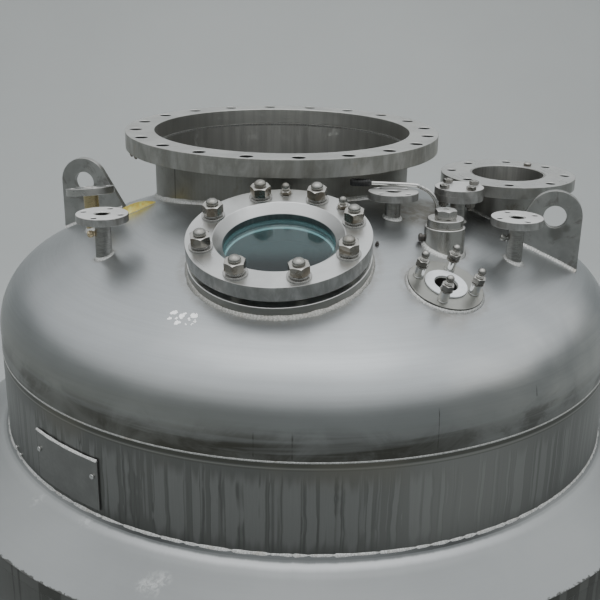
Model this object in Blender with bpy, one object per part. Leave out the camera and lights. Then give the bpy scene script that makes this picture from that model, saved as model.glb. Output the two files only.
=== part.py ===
"""Jacketed stainless steel process tank with a flanged top head, on four pipe legs.

Metres, +Z up, floor at z = 0, tank axis at x = y = 0, the photographed side faces -Y.
"""
import math

import bmesh
import bpy
from mathutils import Matrix, Vector

GAP = 0.0003                 # clearance that touching pieces keep

# Vessel and its torispherical heads
VESSEL_R = 0.700             # outer radius
VESSEL_WALL = 0.008
HEAD_WELD_Z = 2.400          # joint of the top head and the upper course
STRAIGHT = 0.047             # straight flange of a head
CROWN_RATIO = 2.0            # crown radius over vessel radius
KNUCKLE_RATIO = 0.2          # knuckle radius over vessel radius
COURSE_H = 0.185             # upper course, from head weld to jacket weld
INNER_TANGENT_Z = 0.817      # tangent line of the inner bottom head

# Jacket
JACKET_R = 0.836
JACKET_WALL = 0.006
SHOULDER_EDGE_R = 0.822      # where the sloping shoulder turns into its knuckle
SHOULDER_EDGE_DROP = 0.075
SHOULDER_SKIRT_DROP = 0.105  # lower end of the shoulder's rolled skirt
JACKET_BOTTOM_Z = 0.800
JACKET_STRAIGHT = 0.030

# Round parts are faceted
SEG_VESSEL = 64
SEG_MANHOLE = 48
SEG_NOZZLE = 28
SEG_SMALL = 16
SEG_HOLE = 8
TOP_HEAD_STEPS = (5, 5)      # knuckle and crown
BOTTOM_HEAD_STEPS = (3, 3)

# Manhole, x and y from the tank axis, z of the flange face above the head weld
MANHOLE_XY = (-0.065, 0.191)
MANHOLE_TOP = 0.4244
MANHOLE_OD = 0.760
MANHOLE_T = 0.040
MANHOLE_NECK_OD = 0.620
MANHOLE_NECK_WALL = 0.008
MANHOLE_PCD = 0.709
MANHOLE_HOLES = 20
MANHOLE_HOLE_D = 0.030
MANHOLE_PHASE = 7.3
MANHOLE_CLEAR_R = 0.080      # the head starts here, inside the manhole opening

# Side nozzle at the right rear
SIDE_XY = (0.474, 0.091)
SIDE_TOP = 0.3465
SIDE_OD = 0.313
SIDE_T = 0.027
SIDE_NECK_OD = 0.175
SIDE_NECK_WALL = 0.004
SIDE_PCD = 0.264
SIDE_HOLES = 8
SIDE_HOLE_D = 0.022
SIDE_PHASE = -9.2

# Small nozzles share one flange size
SMALL_OD = 0.108
SMALL_T = 0.016
SMALL_PIPE_OD = 0.0337
SMALL_PIPE_WALL = 0.0029
SMALL_PCD = 0.082
SMALL_HOLES = 4
SMALL_HOLE_D = 0.013
NOZZLE_REACH = 0.016         # how far a small neck reaches inside the head

# name: centre of the flange face above the head weld, axis, first bolt hole, face thickness
SMALL_NOZZLES = {
    "right": ((0.435, -0.232, 0.3234), (0, 0, 1), 19.0, SMALL_T),
    "left": ((-0.421, -0.255, 0.3200), (0, 0, 1), -12.6, SMALL_T),
    "rear_left": ((-0.4935, -0.035, 0.3220), (-0.083, 0.159, 0.984), 30.0, SMALL_T),
    "middle": ((0.183, -0.155, 0.3545), (0, 0.04, 1), 45.0, SMALL_T),
    "capped": ((0.3353, -0.077, 0.3364), (0, 0, 1), 30.0, 0.014),
}
BLIND_T = 0.013

# Sight glass on the dome, heights along its own axis from the head surface
SIGHT_XY = (-0.0518, -0.3717)
SIGHT_OD = 0.363
SIGHT_BORE = 0.219
SIGHT_BEVEL_D = 0.256
SIGHT_BASE = (-0.035, 0.010)
SIGHT_GASKET = (0.0103, 0.0133)
SIGHT_GLASS = (0.0136, 0.0236)
SIGHT_COVER = (0.0239, 0.0540)
SIGHT_BEVEL_H = 0.018
SIGHT_GLASS_D = 0.258
SIGHT_PCD = 0.304
SIGHT_BOLTS = 8
SIGHT_PHASE = 15.9
SIGHT_HOLE_D = 0.021

# Studded pad at the right front
PAD_XY = (0.2681, -0.4130)
PAD_OD = 0.151
PAD_BORE = 0.044
PAD_SPAN = (-0.030, 0.006)
PAD_GASKET_D = (0.048, 0.088)
PAD_GASKET_T = 0.003
PAD_PCD = 0.111
PAD_STUDS = 4
PAD_PHASE = -13.0
PAD_STUD_R = 0.008
PAD_STUD_TOP = 0.064
PAD_STUD_LEVELS = (0.028, 0.034, 0.048)   # sleeve top, nut underside, nut top
PAD_SLEEVE_R = 0.011
PAD_NUT_AF = 0.024

# Plugged boss
BOSS_XY = (0.282, -0.265)
BOSS_R = 0.0415
BOSS_BORE_R = 0.0250
BOSS_SPAN = (0.232, 0.310)   # above the head weld
PLUG_STEP_R = 0.0370
PLUG_STEP_TOP = 0.327
PLUG_HEX_AF = 0.0400
PLUG_HEX_TOP = 0.345
PLUG_STEM_R = 0.0245
PLUG_STEM_BOTTOM = 0.262

# Lifting lugs, radial plates; distances from the tank axis and above the head weld
LUG_AZIMUTHS = {"right": -13.0, "left": 167.0}
LUG_T = 0.015
LUG_HOLE = (0.555, 0.2985)
LUG_HOLE_R = 0.0245
LUG_R = 0.058
LUG_INNER_R = 0.4536
LUG_TURN = 150.0             # where the round top meets the slanted inner edge

# Bent handle with a black grip, in one upright plane; x from the tank axis, z above the head weld
HANDLE_Y = -0.133
HANDLE_R = 0.0045
HANDLE_BASE_X = 0.2845
HANDLE_PATH = ((0.2845, 0.292), (0.2840, 0.306), (0.2800, 0.324), (0.2720, 0.339), (0.2600, 0.351),
               (0.2440, 0.359), (0.2260, 0.3635), (0.1373, 0.3665))
HANDLE_HUB_R = 0.010
HANDLE_HUB_H = 0.014
GRIP_R = 0.0085
GRIP_SPAN = (0.0910, 0.1370)
GRIP_Z = 0.3672
GRIP_ROUND = 0.004

# Bracket for a nameplate, bare
PLATE_AZIMUTH = -130.8
PLATE_HALF_ANGLE = 7.9
PLATE_Z = (-0.173, -0.068)   # from the head weld
PLATE_T = 0.004

# Bottom outlet
OUTLET_PIPE_OD = 0.0889
OUTLET_PIPE_WALL = 0.0040
OUTLET_OD = 0.200
OUTLET_T = 0.020
OUTLET_PCD = 0.160
OUTLET_HOLES = 8
OUTLET_HOLE_D = 0.018
OUTLET_FACE_Z = 0.300
OUTLET_PHASE = 22.5
OUTLET_LIP = 0.003

# Legs
LEG_AZIMUTHS = {"front_right": -45.0, "rear_right": 45.0, "rear_left": 135.0, "front_left": -135.0}
LEG_R = 0.070
LEG_TOP_Z = 1.200
LEG_PAD_T = 0.010
LEG_PAD_Z = (0.860, 1.260)
LEG_PAD_HALF_STEPS = 2       # facets of the jacket on each side of the leg
FOOT_SIZE = 0.200
FOOT_T = 0.015
LEG_BITE = 0.002             # overlap of the leg with its plate and pad, as welded
SEG_LEG = 24

UP = Vector((0, 0, 1))


def clear_scene():
    """Remove every object of the start-up scene."""
    for item in list(bpy.data.objects):
        bpy.data.objects.remove(item, do_unlink=True)


def material(name, colour, roughness, metallic):
    """One Principled material."""
    mat = bpy.data.materials.new(name)
    mat.use_nodes = True
    shader = mat.node_tree.nodes["Principled BSDF"]
    shader.inputs["Base Color"].default_value = (*colour, 1)
    shader.inputs["Roughness"].default_value = roughness
    shader.inputs["Metallic"].default_value = metallic
    return mat


def add_object(name, mesh_data, mat, smooth=True):
    """Put a bmesh into the scene as a named object with one material."""
    bmesh.ops.recalc_face_normals(mesh_data, faces=mesh_data.faces)
    mesh = bpy.data.meshes.new(name)
    mesh_data.to_mesh(mesh)
    mesh_data.free()
    mesh.materials.append(mat)
    if smooth:
        mesh.shade_smooth()
        mesh.set_sharp_from_angle(angle=math.radians(25))
    item = bpy.data.objects.new(name, mesh)
    bpy.context.scene.collection.objects.link(item)
    return item


def frame_at(point, axis):
    """Matrix whose z runs along the axis and whose x stays near world x, or y on a level axis."""
    z = Vector(axis).normalized()
    level = Vector((1, 0, 0)) if abs(z.x) < 0.9 else Vector((0, 1, 0))
    x = (level - z * level.dot(z)).normalized()
    y = z.cross(x)
    rotation = Matrix((x, y, z)).transposed().to_4x4()
    return Matrix.Translation(Vector(point)) @ rotation


def above_weld(x, y, z=0.0):
    """A point given by its height above the head weld."""
    return Vector((x, y, HEAD_WELD_Z + z))


def lathe(target, profile, segments, matrix=Matrix(), closed=True):
    """Revolve (radius, height) points about local z; radius 0 makes a pole."""
    rings = []
    for radius, height in profile:
        if radius == 0:
            rings.append([target.verts.new(matrix @ Vector((0, 0, height)))])
            continue
        ring = []
        for step in range(segments):
            angle = 2 * math.pi * step / segments
            spot = Vector((radius * math.cos(angle), radius * math.sin(angle), height))
            ring.append(target.verts.new(matrix @ spot))
        rings.append(ring)
    count = len(rings)
    last = count if closed else count - 1
    for index in range(last):
        bridge(target, rings[index], rings[(index + 1) % count], segments)


def bridge(target, lower, upper, segments):
    """Faces between two rings, either of which may be a pole."""
    if len(lower) == 1 and len(upper) == 1:
        return
    for step in range(segments):
        after = (step + 1) % segments
        corners = []
        for ring, order in ((lower, (step, after)), (upper, (after, step))):
            picks = [0] if len(ring) == 1 else order
            corners.extend(ring[pick] for pick in picks)
        target.faces.new(corners)


def prism(target, outline, thickness, matrix):
    """Extrude a flat outline of local (x, z) points by a thickness along local y."""
    sides = []
    for offset in (-thickness / 2, thickness / 2):
        sides.append([target.verts.new(matrix @ Vector((x, offset, z))) for x, z in outline])
    target.faces.new(sides[0])
    target.faces.new(list(reversed(sides[1])))
    count = len(outline)
    for index in range(count):
        after = (index + 1) % count
        target.faces.new((sides[0][index], sides[1][index], sides[1][after], sides[0][after]))


def combine(item, other_data, operation="DIFFERENCE"):
    """Subtract a bmesh from an object, or unite them, and apply it."""
    other = add_object(item.name + "_tool", other_data, item.data.materials[0], smooth=False)
    other.hide_render = True
    other.display_type = "WIRE"
    modifier = item.modifiers.new("combine", "BOOLEAN")
    modifier.operation = operation
    modifier.solver = "EXACT"
    modifier.object = other
    graph = bpy.context.evaluated_depsgraph_get()
    result = bpy.data.meshes.new_from_object(item.evaluated_get(graph))
    item.modifiers.clear()
    old = item.data
    item.data = result
    bpy.data.meshes.remove(old)
    bpy.data.objects.remove(other, do_unlink=True)
    result.shade_smooth()
    result.set_sharp_from_angle(angle=math.radians(25))


def head_profile(radius, wall, straight, steps, inner, end):
    """Meridian of a torispherical head from its open end to a radius, pole up, tangent at 0."""
    crown = CROWN_RATIO * radius
    knuckle = KNUCKLE_RATIO * radius
    centre_z = -math.sqrt((crown - knuckle) ** 2 - (radius - knuckle) ** 2)
    turn = math.asin((radius - knuckle) / (crown - knuckle))
    shrink = wall if inner else 0.0
    points = [(radius - shrink, -straight)]
    knuckle_steps, crown_steps = steps
    for step in range(knuckle_steps):
        angle = math.pi / 2 - (math.pi / 2 - turn) * step / knuckle_steps
        reach = knuckle - shrink
        points.append((radius - knuckle + reach * math.sin(angle), reach * math.cos(angle)))
    reach = crown - shrink
    last = math.asin(end / reach)
    for step in range(crown_steps + 1):
        angle = turn + (last - turn) * step / crown_steps
        points.append((reach * math.sin(angle), centre_z + reach * math.cos(angle)))
    return points


def head_mesh(radius, wall, straight, tangent_z, up):
    """Closed shell of one head; a bottom head is open round the outlet pipe."""
    sign = 1 if up else -1
    steps = TOP_HEAD_STEPS if up else BOTTOM_HEAD_STEPS
    end = MANHOLE_CLEAR_R if up else OUTLET_PIPE_OD / 2 + GAP
    outside = head_profile(radius, wall, straight, steps, False, end)
    inside = head_profile(radius, wall, straight, steps, True, end)
    profile = [(r, tangent_z + sign * z) for r, z in outside + inside[::-1]]
    data = bmesh.new()
    lathe(data, profile, SEG_VESSEL)
    return data


def dome_height(distance, offset=0.0):
    """Height of the top head's outside, moved by an offset, above the head weld."""
    crown = CROWN_RATIO * VESSEL_R
    knuckle = KNUCKLE_RATIO * VESSEL_R
    centre_z = -math.sqrt((crown - knuckle) ** 2 - (VESSEL_R - knuckle) ** 2)
    tangent_r = (VESSEL_R - knuckle) * crown / (crown - knuckle)
    if distance < tangent_r:
        height = centre_z + math.sqrt((crown + offset) ** 2 - distance ** 2)
    else:
        over = distance - (VESSEL_R - knuckle)
        height = math.sqrt((knuckle + offset) ** 2 - over ** 2)
    return STRAIGHT + height


def dome_frame(x, y):
    """Frame on the crown, z along the crown's radius."""
    crown = CROWN_RATIO * VESSEL_R
    height = dome_height(math.hypot(x, y))
    centre = dome_height(0) - crown
    return frame_at(above_weld(x, y, height), (x, y, height - centre))


def flange(name, matrix, sizes, segments, mat):
    """Flat ring whose face is at local z = 0, with bolt holes."""
    outer, inner, thickness, pitch, count, hole, phase = sizes
    data = bmesh.new()
    ring = [(inner / 2, 0), (outer / 2, 0), (outer / 2, -thickness), (inner / 2, -thickness)]
    lathe(data, ring, segments, matrix)
    item = add_object(name, data, mat)
    combine(item, bolt_cutters(matrix, pitch, count, hole, phase, (-2 * thickness, thickness)))
    return item


def bolt_cutters(matrix, pitch, count, hole, phase, span):
    """Cylinders on a bolt circle."""
    data = bmesh.new()
    for index in range(count):
        spot = matrix @ bolt_place(pitch, count, phase, index)
        pin = [(0, span[0]), (hole / 2, span[0]), (hole / 2, span[1]), (0, span[1])]
        lathe(data, pin, SEG_HOLE, spot, closed=False)
    return data


def bolt_place(pitch, count, phase, index):
    """Local matrix of one place on a bolt circle."""
    angle = math.radians(phase + 360 * index / count)
    return Matrix.Translation((pitch / 2 * math.cos(angle), pitch / 2 * math.sin(angle), 0))


def tube(target, outer, wall, span, segments, matrix=Matrix()):
    """Plain pipe between two heights."""
    low, high = span
    ring = [(outer / 2 - wall, low), (outer / 2, low), (outer / 2, high), (outer / 2 - wall, high)]
    lathe(target, ring, segments, matrix)


def rod(target, radius, span, segments, matrix=Matrix()):
    """Solid cylinder between two heights."""
    low, high = span
    lathe(target, [(0, low), (radius, low), (radius, high), (0, high)], segments, matrix, closed=False)


def stepped_bolt(target, levels, matrix):
    """Stack of round and hexagonal lengths in one closed solid; levels are (kind, size, z)."""
    sides = 12
    rings = []
    for kind, size, height in levels:
        ring = []
        for step in range(sides):
            angle = math.pi * step / 6
            corner = size / 2 / math.cos(math.pi / 6) if step % 2 else size / 2
            radius = corner if kind == "hex" else size
            spot = Vector((radius * math.cos(angle), radius * math.sin(angle), height))
            ring.append(target.verts.new(matrix @ spot))
        rings.append(ring)
    for lower, upper in zip(rings, rings[1:]):
        bridge(target, lower, upper, sides)
    target.faces.new(rings[0])
    target.faces.new(rings[-1])


def build_vessel(steel):
    """Inner vessel: top head, upper course, lower shell and bottom head."""
    tangent = HEAD_WELD_Z + STRAIGHT
    head = add_object("top_head", head_mesh(VESSEL_R, VESSEL_WALL, STRAIGHT - GAP, tangent, True), steel)
    combine(head, head_hole_cutters())
    weld = HEAD_WELD_Z - COURSE_H
    data = bmesh.new()
    tube(data, 2 * VESSEL_R, VESSEL_WALL, (weld, HEAD_WELD_Z), SEG_VESSEL)
    add_object("upper_course", data, steel)
    data = bmesh.new()
    bottom = INNER_TANGENT_Z + STRAIGHT
    tube(data, 2 * VESSEL_R, VESSEL_WALL, (bottom, weld - GAP), SEG_VESSEL)
    add_object("vessel_shell", data, steel)
    data = head_mesh(VESSEL_R, VESSEL_WALL, STRAIGHT - GAP, INNER_TANGENT_Z, False)
    add_object("vessel_bottom_head", data, steel)


def head_hole_cutters():
    """All openings of the top head in one cutter."""
    data = bmesh.new()
    low, high = -0.25, 0.30
    rod(data, MANHOLE_NECK_OD / 2 + GAP, (0, 0.5), SEG_MANHOLE, frame_at(above_weld(*MANHOLE_XY), UP))
    rod(data, SIDE_NECK_OD / 2 + GAP, (0, 0.5), SEG_NOZZLE, frame_at(above_weld(*SIDE_XY), UP))
    rod(data, BOSS_R + GAP, (0, 0.5), SEG_NOZZLE, frame_at(above_weld(*BOSS_XY), UP))
    for point, axis, _, _ in SMALL_NOZZLES.values():
        place = frame_at(above_weld(*point), axis)
        rod(data, SMALL_PIPE_OD / 2 + GAP, (low, high), SEG_SMALL, place)
    rod(data, SIGHT_OD / 2 + GAP, (-0.1, 0.1), SEG_MANHOLE, dome_frame(*SIGHT_XY))
    rod(data, PAD_OD / 2 + GAP, (-0.1, 0.1), SEG_NOZZLE, dome_frame(*PAD_XY))
    return data


def build_jacket(steel):
    """Shoulder, shell and bottom head of the jacket."""
    weld = HEAD_WELD_Z - COURSE_H
    skirt = weld - SHOULDER_SKIRT_DROP
    outside = [(VESSEL_R + GAP, weld)]
    outside.append((SHOULDER_EDGE_R, weld - SHOULDER_EDGE_DROP))
    outside.append((JACKET_R - 0.003, weld - SHOULDER_EDGE_DROP - 0.010))
    outside.append((JACKET_R, weld - SHOULDER_EDGE_DROP - 0.018))
    outside.append((JACKET_R, skirt))
    drop = JACKET_WALL * 1.17
    inside = [(JACKET_R - JACKET_WALL, skirt)]
    inside.append((JACKET_R - JACKET_WALL, weld - SHOULDER_EDGE_DROP - 0.020))
    inside.append((SHOULDER_EDGE_R - 0.003, weld - SHOULDER_EDGE_DROP - drop))
    inside.append((VESSEL_R + GAP, weld - drop))
    data = bmesh.new()
    lathe(data, outside + inside, SEG_VESSEL)
    add_object("jacket_shoulder", data, steel)
    data = bmesh.new()
    tube(data, 2 * JACKET_R, JACKET_WALL, (JACKET_BOTTOM_Z, skirt - GAP), SEG_VESSEL)
    add_object("jacket_shell", data, steel)
    tangent = JACKET_BOTTOM_Z - JACKET_STRAIGHT
    data = head_mesh(JACKET_R, JACKET_WALL, JACKET_STRAIGHT - GAP, tangent, False)
    add_object("jacket_bottom_head", data, steel)


def contour_tube(data, centre, outer, wall, top, segments):
    """Pipe whose lower end follows the inside of the top head."""
    corners = []
    for step in range(segments):
        angle = 2 * math.pi * step / segments
        column = []
        for radius in (outer / 2 - wall, outer / 2):
            x = centre[0] + radius * math.cos(angle)
            y = centre[1] + radius * math.sin(angle)
            low = dome_height(math.hypot(x, y), -VESSEL_WALL) - NOZZLE_REACH
            column.append((data.verts.new(above_weld(x, y, low)), data.verts.new(above_weld(x, y, top))))
        corners.append(column)
    for step in range(segments):
        (inner_low, inner_top), (outer_low, outer_top) = corners[step]
        (next_inner_low, next_inner_top), (next_outer_low, next_outer_top) = corners[(step + 1) % segments]
        data.faces.new((outer_low, next_outer_low, next_outer_top, outer_top))
        data.faces.new((inner_low, inner_top, next_inner_top, next_inner_low))
        data.faces.new((inner_top, outer_top, next_outer_top, next_inner_top))
        data.faces.new((inner_low, next_inner_low, next_outer_low, outer_low))


def build_large_nozzles(steel):
    """Manhole and side nozzle: neck and slip-on flange each."""
    lip = 0.004
    data = bmesh.new()
    contour_tube(data, MANHOLE_XY, MANHOLE_NECK_OD, MANHOLE_NECK_WALL, MANHOLE_TOP - lip, SEG_MANHOLE)
    add_object("manhole_neck", data, steel)
    sizes = (MANHOLE_OD, MANHOLE_NECK_OD + 2 * GAP, MANHOLE_T, MANHOLE_PCD, MANHOLE_HOLES,
             MANHOLE_HOLE_D, MANHOLE_PHASE)
    flange("manhole_flange", frame_at(above_weld(*MANHOLE_XY, MANHOLE_TOP), UP), sizes, SEG_MANHOLE, steel)
    data = bmesh.new()
    contour_tube(data, SIDE_XY, SIDE_NECK_OD, SIDE_NECK_WALL, SIDE_TOP - lip, SEG_NOZZLE)
    add_object("side_nozzle_neck", data, steel)
    sizes = (SIDE_OD, SIDE_NECK_OD + 2 * GAP, SIDE_T, SIDE_PCD, SIDE_HOLES, SIDE_HOLE_D, SIDE_PHASE)
    flange("side_nozzle_flange", frame_at(above_weld(*SIDE_XY, SIDE_TOP), UP), sizes, SEG_NOZZLE, steel)


def neck_length(point, axis):
    """Distance along a nozzle axis from its flange face to the inside of the head."""
    direction = Vector(axis).normalized()
    spot = Vector(point)
    travelled = 0.0
    step = 0.001
    while spot.z > dome_height(math.hypot(spot.x, spot.y), -VESSEL_WALL):
        spot -= direction * step
        travelled += step
    return travelled + NOZZLE_REACH


def build_small_nozzles(steel):
    """Five small nozzles, one of them closed by a blind cover."""
    lip = 0.002
    for name, (point, axis, phase, thickness) in SMALL_NOZZLES.items():
        place = frame_at(above_weld(*point), axis)
        data = bmesh.new()
        tube(data, SMALL_PIPE_OD, SMALL_PIPE_WALL, (-neck_length(point, axis), -lip), SEG_SMALL, place)
        add_object(name + "_nozzle_neck", data, steel)
        sizes = (SMALL_OD, SMALL_PIPE_OD + 2 * GAP, thickness, SMALL_PCD, SMALL_HOLES, SMALL_HOLE_D, phase)
        flange(name + "_nozzle_flange", place, sizes, SEG_SMALL, steel)
    build_blind_cover(steel)


def build_blind_cover(steel):
    """Blind cover on the capped nozzle."""
    point, axis, phase, _ = SMALL_NOZZLES["capped"]
    place = frame_at(above_weld(*point), axis)
    data = bmesh.new()
    rod(data, SMALL_OD / 2, (GAP, GAP + BLIND_T), SEG_SMALL, place)
    cover = add_object("blind_cover", data, steel)
    combine(cover, bolt_cutters(place, SMALL_PCD, SMALL_HOLES, SMALL_HOLE_D, phase, (-BLIND_T, 2 * BLIND_T)))


def build_sight_glass(steel, glass, rubber):
    """Sight glass: set-in base ring, gasket, glass and drilled cover ring."""
    place = dome_frame(*SIGHT_XY)
    data = bmesh.new()
    tube(data, SIGHT_OD, (SIGHT_OD - SIGHT_BORE) / 2, SIGHT_BASE, SEG_MANHOLE, place)
    add_object("sight_glass_base", data, steel)
    data = bmesh.new()
    tube(data, SIGHT_GLASS_D, (SIGHT_GLASS_D - SIGHT_BORE) / 2, SIGHT_GASKET, SEG_NOZZLE, place)
    add_object("sight_glass_gasket", data, rubber)
    data = bmesh.new()
    rod(data, SIGHT_GLASS_D / 2, SIGHT_GLASS, SEG_NOZZLE, place)
    add_object("sight_glass_disc", data, glass)
    low, high = SIGHT_COVER
    ring = [(SIGHT_BORE / 2, low), (SIGHT_OD / 2, low), (SIGHT_OD / 2, high), (SIGHT_BEVEL_D / 2, high)]
    ring.append((SIGHT_BORE / 2, high - SIGHT_BEVEL_H))
    data = bmesh.new()
    lathe(data, ring, SEG_MANHOLE, place)
    cover = add_object("sight_glass_cover", data, steel)
    span = (low - 0.01, high + 0.01)
    combine(cover, bolt_cutters(place, SIGHT_PCD, SIGHT_BOLTS, SIGHT_HOLE_D, SIGHT_PHASE, span))


def build_pad(steel, dark, ptfe):
    """Studded pad nozzle with its open gasket and four studs."""
    place = dome_frame(*PAD_XY)
    low, high = PAD_SPAN
    data = bmesh.new()
    tube(data, PAD_OD, (PAD_OD - PAD_BORE) / 2, PAD_SPAN, SEG_NOZZLE, place)
    add_object("pad_ring", data, steel)
    inner, outer = PAD_GASKET_D
    data = bmesh.new()
    tube(data, outer, (outer - inner) / 2, (high + GAP, high + GAP + PAD_GASKET_T), SEG_NOZZLE, place)
    add_object("pad_gasket", data, ptfe)
    for index in range(PAD_STUDS):
        spot = place @ bolt_place(PAD_PCD, PAD_STUDS, PAD_PHASE, index)
        sleeve, nut, nut_top = PAD_STUD_LEVELS
        levels = [("round", PAD_SLEEVE_R, high + GAP), ("round", PAD_SLEEVE_R, sleeve)]
        levels += [("round", PAD_STUD_R, sleeve), ("round", PAD_STUD_R, nut)]
        levels += [("hex", PAD_NUT_AF, nut), ("hex", PAD_NUT_AF, nut_top)]
        levels += [("round", PAD_STUD_R, nut_top), ("round", PAD_STUD_R, PAD_STUD_TOP)]
        data = bmesh.new()
        stepped_bolt(data, levels, spot)
        add_object("pad_stud_%d" % (index + 1), data, dark)


def build_boss(steel):
    """Threaded boss with a hexagonal plug."""
    place = frame_at(above_weld(*BOSS_XY), UP)
    data = bmesh.new()
    tube(data, 2 * BOSS_R, BOSS_R - BOSS_BORE_R, BOSS_SPAN, SEG_NOZZLE, place)
    add_object("boss_body", data, steel)
    seat = BOSS_SPAN[1] + GAP
    levels = [("round", PLUG_STEM_R, PLUG_STEM_BOTTOM), ("round", PLUG_STEM_R, seat)]
    levels += [("round", PLUG_STEP_R, seat), ("round", PLUG_STEP_R, PLUG_STEP_TOP)]
    levels += [("hex", PLUG_HEX_AF, PLUG_STEP_TOP), ("hex", PLUG_HEX_AF, PLUG_HEX_TOP)]
    data = bmesh.new()
    stepped_bolt(data, levels, place)
    add_object("boss_plug", data, steel)


def lug_outline():
    """Side view of a lifting lug: distance from the tank axis, height above the head weld."""
    centre_r, centre_z = LUG_HOLE
    outer = centre_r + LUG_R
    points = []
    steps = 8
    for step in range(steps + 1):
        distance = LUG_INNER_R + (outer - LUG_INNER_R) * step / steps
        points.append((distance, dome_height(distance) + GAP))
    arc_steps = 14
    for step in range(arc_steps + 1):
        angle = math.radians(LUG_TURN * step / arc_steps)
        points.append((centre_r + LUG_R * math.cos(angle), centre_z + LUG_R * math.sin(angle)))
    return points


def build_lugs(steel):
    """Two lifting lugs opposite each other."""
    for side, azimuth in LUG_AZIMUTHS.items():
        place = Matrix.Translation(above_weld(0, 0)) @ Matrix.Rotation(math.radians(azimuth), 4, "Z")
        data = bmesh.new()
        prism(data, lug_outline(), LUG_T, place)
        lug = add_object("lifting_lug_" + side, data, steel)
        data = bmesh.new()
        centre = Matrix.Translation((LUG_HOLE[0], 0, LUG_HOLE[1]))
        hole = place @ centre @ Matrix.Rotation(math.pi / 2, 4, "X")
        rod(data, LUG_HOLE_R, (-LUG_T, LUG_T), 24, hole)
        combine(lug, data)


def sweep(target, path, radius, sides):
    """Round bar along a path in one upright plane."""
    rings = []
    for index, spot in enumerate(path):
        before = path[max(index - 1, 0)]
        after = path[min(index + 1, len(path) - 1)]
        place = frame_at(spot, after - before)
        ring = []
        for step in range(sides):
            angle = 2 * math.pi * step / sides
            corner = Vector((radius * math.cos(angle), radius * math.sin(angle), 0))
            ring.append(target.verts.new(place @ corner))
        rings.append(ring)
    for lower, upper in zip(rings, rings[1:]):
        bridge(target, lower, upper, sides)
    target.faces.new(rings[0])
    target.faces.new(rings[-1])


def build_handle(steel, plastic):
    """Bent round bar standing on a small hub on the head, with a grip on its free end."""
    data = bmesh.new()
    sweep(data, [above_weld(x, HANDLE_Y, z) for x, z in HANDLE_PATH], HANDLE_R, SEG_SMALL)
    handle = add_object("bent_handle", data, steel)
    data = bmesh.new()
    rod(data, HANDLE_HUB_R, (GAP, HANDLE_HUB_H), SEG_SMALL, dome_frame(HANDLE_BASE_X, HANDLE_Y))
    combine(handle, data, "UNION")
    low, high = GRIP_SPAN
    round_r = GRIP_R - GRIP_ROUND
    profile = [(0, low), (round_r, low), (GRIP_R, low + GRIP_ROUND), (GRIP_R, high - GRIP_ROUND)]
    profile += [(round_r, high - GAP), (0, high - GAP)]
    data = bmesh.new()
    lathe(data, profile, SEG_SMALL, frame_at(above_weld(0, HANDLE_Y, GRIP_Z), (1, 0, 0)), closed=False)
    add_object("handle_grip", data, plastic)


def build_nameplate_bracket(steel):
    """Bare flat plate for a nameplate, closed against the round course."""
    half = math.radians(PLATE_HALF_ANGLE)
    arc_steps = 4
    back = (VESSEL_R + GAP) / math.cos(half / arc_steps)
    front = back + PLATE_T
    outline = []
    for step in range(arc_steps + 1):
        angle = -half + 2 * half * step / arc_steps
        outline.append((back * math.cos(angle), back * math.sin(angle)))
    outline.append((front, back * math.sin(half)))
    outline.append((front, -back * math.sin(half)))
    low, high = PLATE_Z
    turn = Matrix.Rotation(math.radians(PLATE_AZIMUTH), 4, "Z")
    data = bmesh.new()
    levels = []
    for height in (low, high):
        levels.append([data.verts.new(turn @ Vector((x, y, HEAD_WELD_Z + height))) for x, y in outline])
    data.faces.new(levels[0])
    data.faces.new(list(reversed(levels[1])))
    count = len(outline)
    for index in range(count):
        after = (index + 1) % count
        data.faces.new((levels[0][index], levels[1][index], levels[1][after], levels[0][after]))
    add_object("nameplate_bracket", data, steel)


def build_outlet(steel):
    """Bottom outlet nozzle through both bottom heads."""
    place = frame_at((0, 0, OUTLET_FACE_Z), (0, 0, -1))
    crown_rise = INNER_TANGENT_Z - (dome_height(0) - STRAIGHT)
    top = crown_rise + VESSEL_WALL + NOZZLE_REACH / 2
    data = bmesh.new()
    tube(data, OUTLET_PIPE_OD, OUTLET_PIPE_WALL, (OUTLET_FACE_Z + OUTLET_LIP, top), SEG_VESSEL)
    add_object("outlet_neck", data, steel)
    sizes = (OUTLET_OD, OUTLET_PIPE_OD + 2 * GAP, OUTLET_T, OUTLET_PCD, OUTLET_HOLES,
             OUTLET_HOLE_D, OUTLET_PHASE)
    flange("outlet_flange", place, sizes, SEG_VESSEL, steel)


def build_legs(steel):
    """Four pipe legs, each welded to its foot plate and its wear pad on the jacket."""
    for name, azimuth in LEG_AZIMUTHS.items():
        turn = math.radians(azimuth)
        reach = JACKET_R + GAP + LEG_PAD_T + LEG_R - LEG_BITE
        centre = Vector((reach * math.cos(turn), reach * math.sin(turn), 0))
        place = Matrix.Translation(centre) @ Matrix.Rotation(turn, 4, "Z")
        data = bmesh.new()
        rod(data, LEG_R, (FOOT_T - LEG_BITE, LEG_TOP_Z), SEG_LEG, place)
        leg = add_object("leg_" + name, data, steel)
        half = FOOT_SIZE / 2
        data = bmesh.new()
        prism(data, [(-half, 0), (half, 0), (half, FOOT_T), (-half, FOOT_T)], FOOT_SIZE, place)
        combine(leg, data, "UNION")
        data = bmesh.new()
        wear_pad(data, turn)
        combine(leg, data, "UNION")


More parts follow.
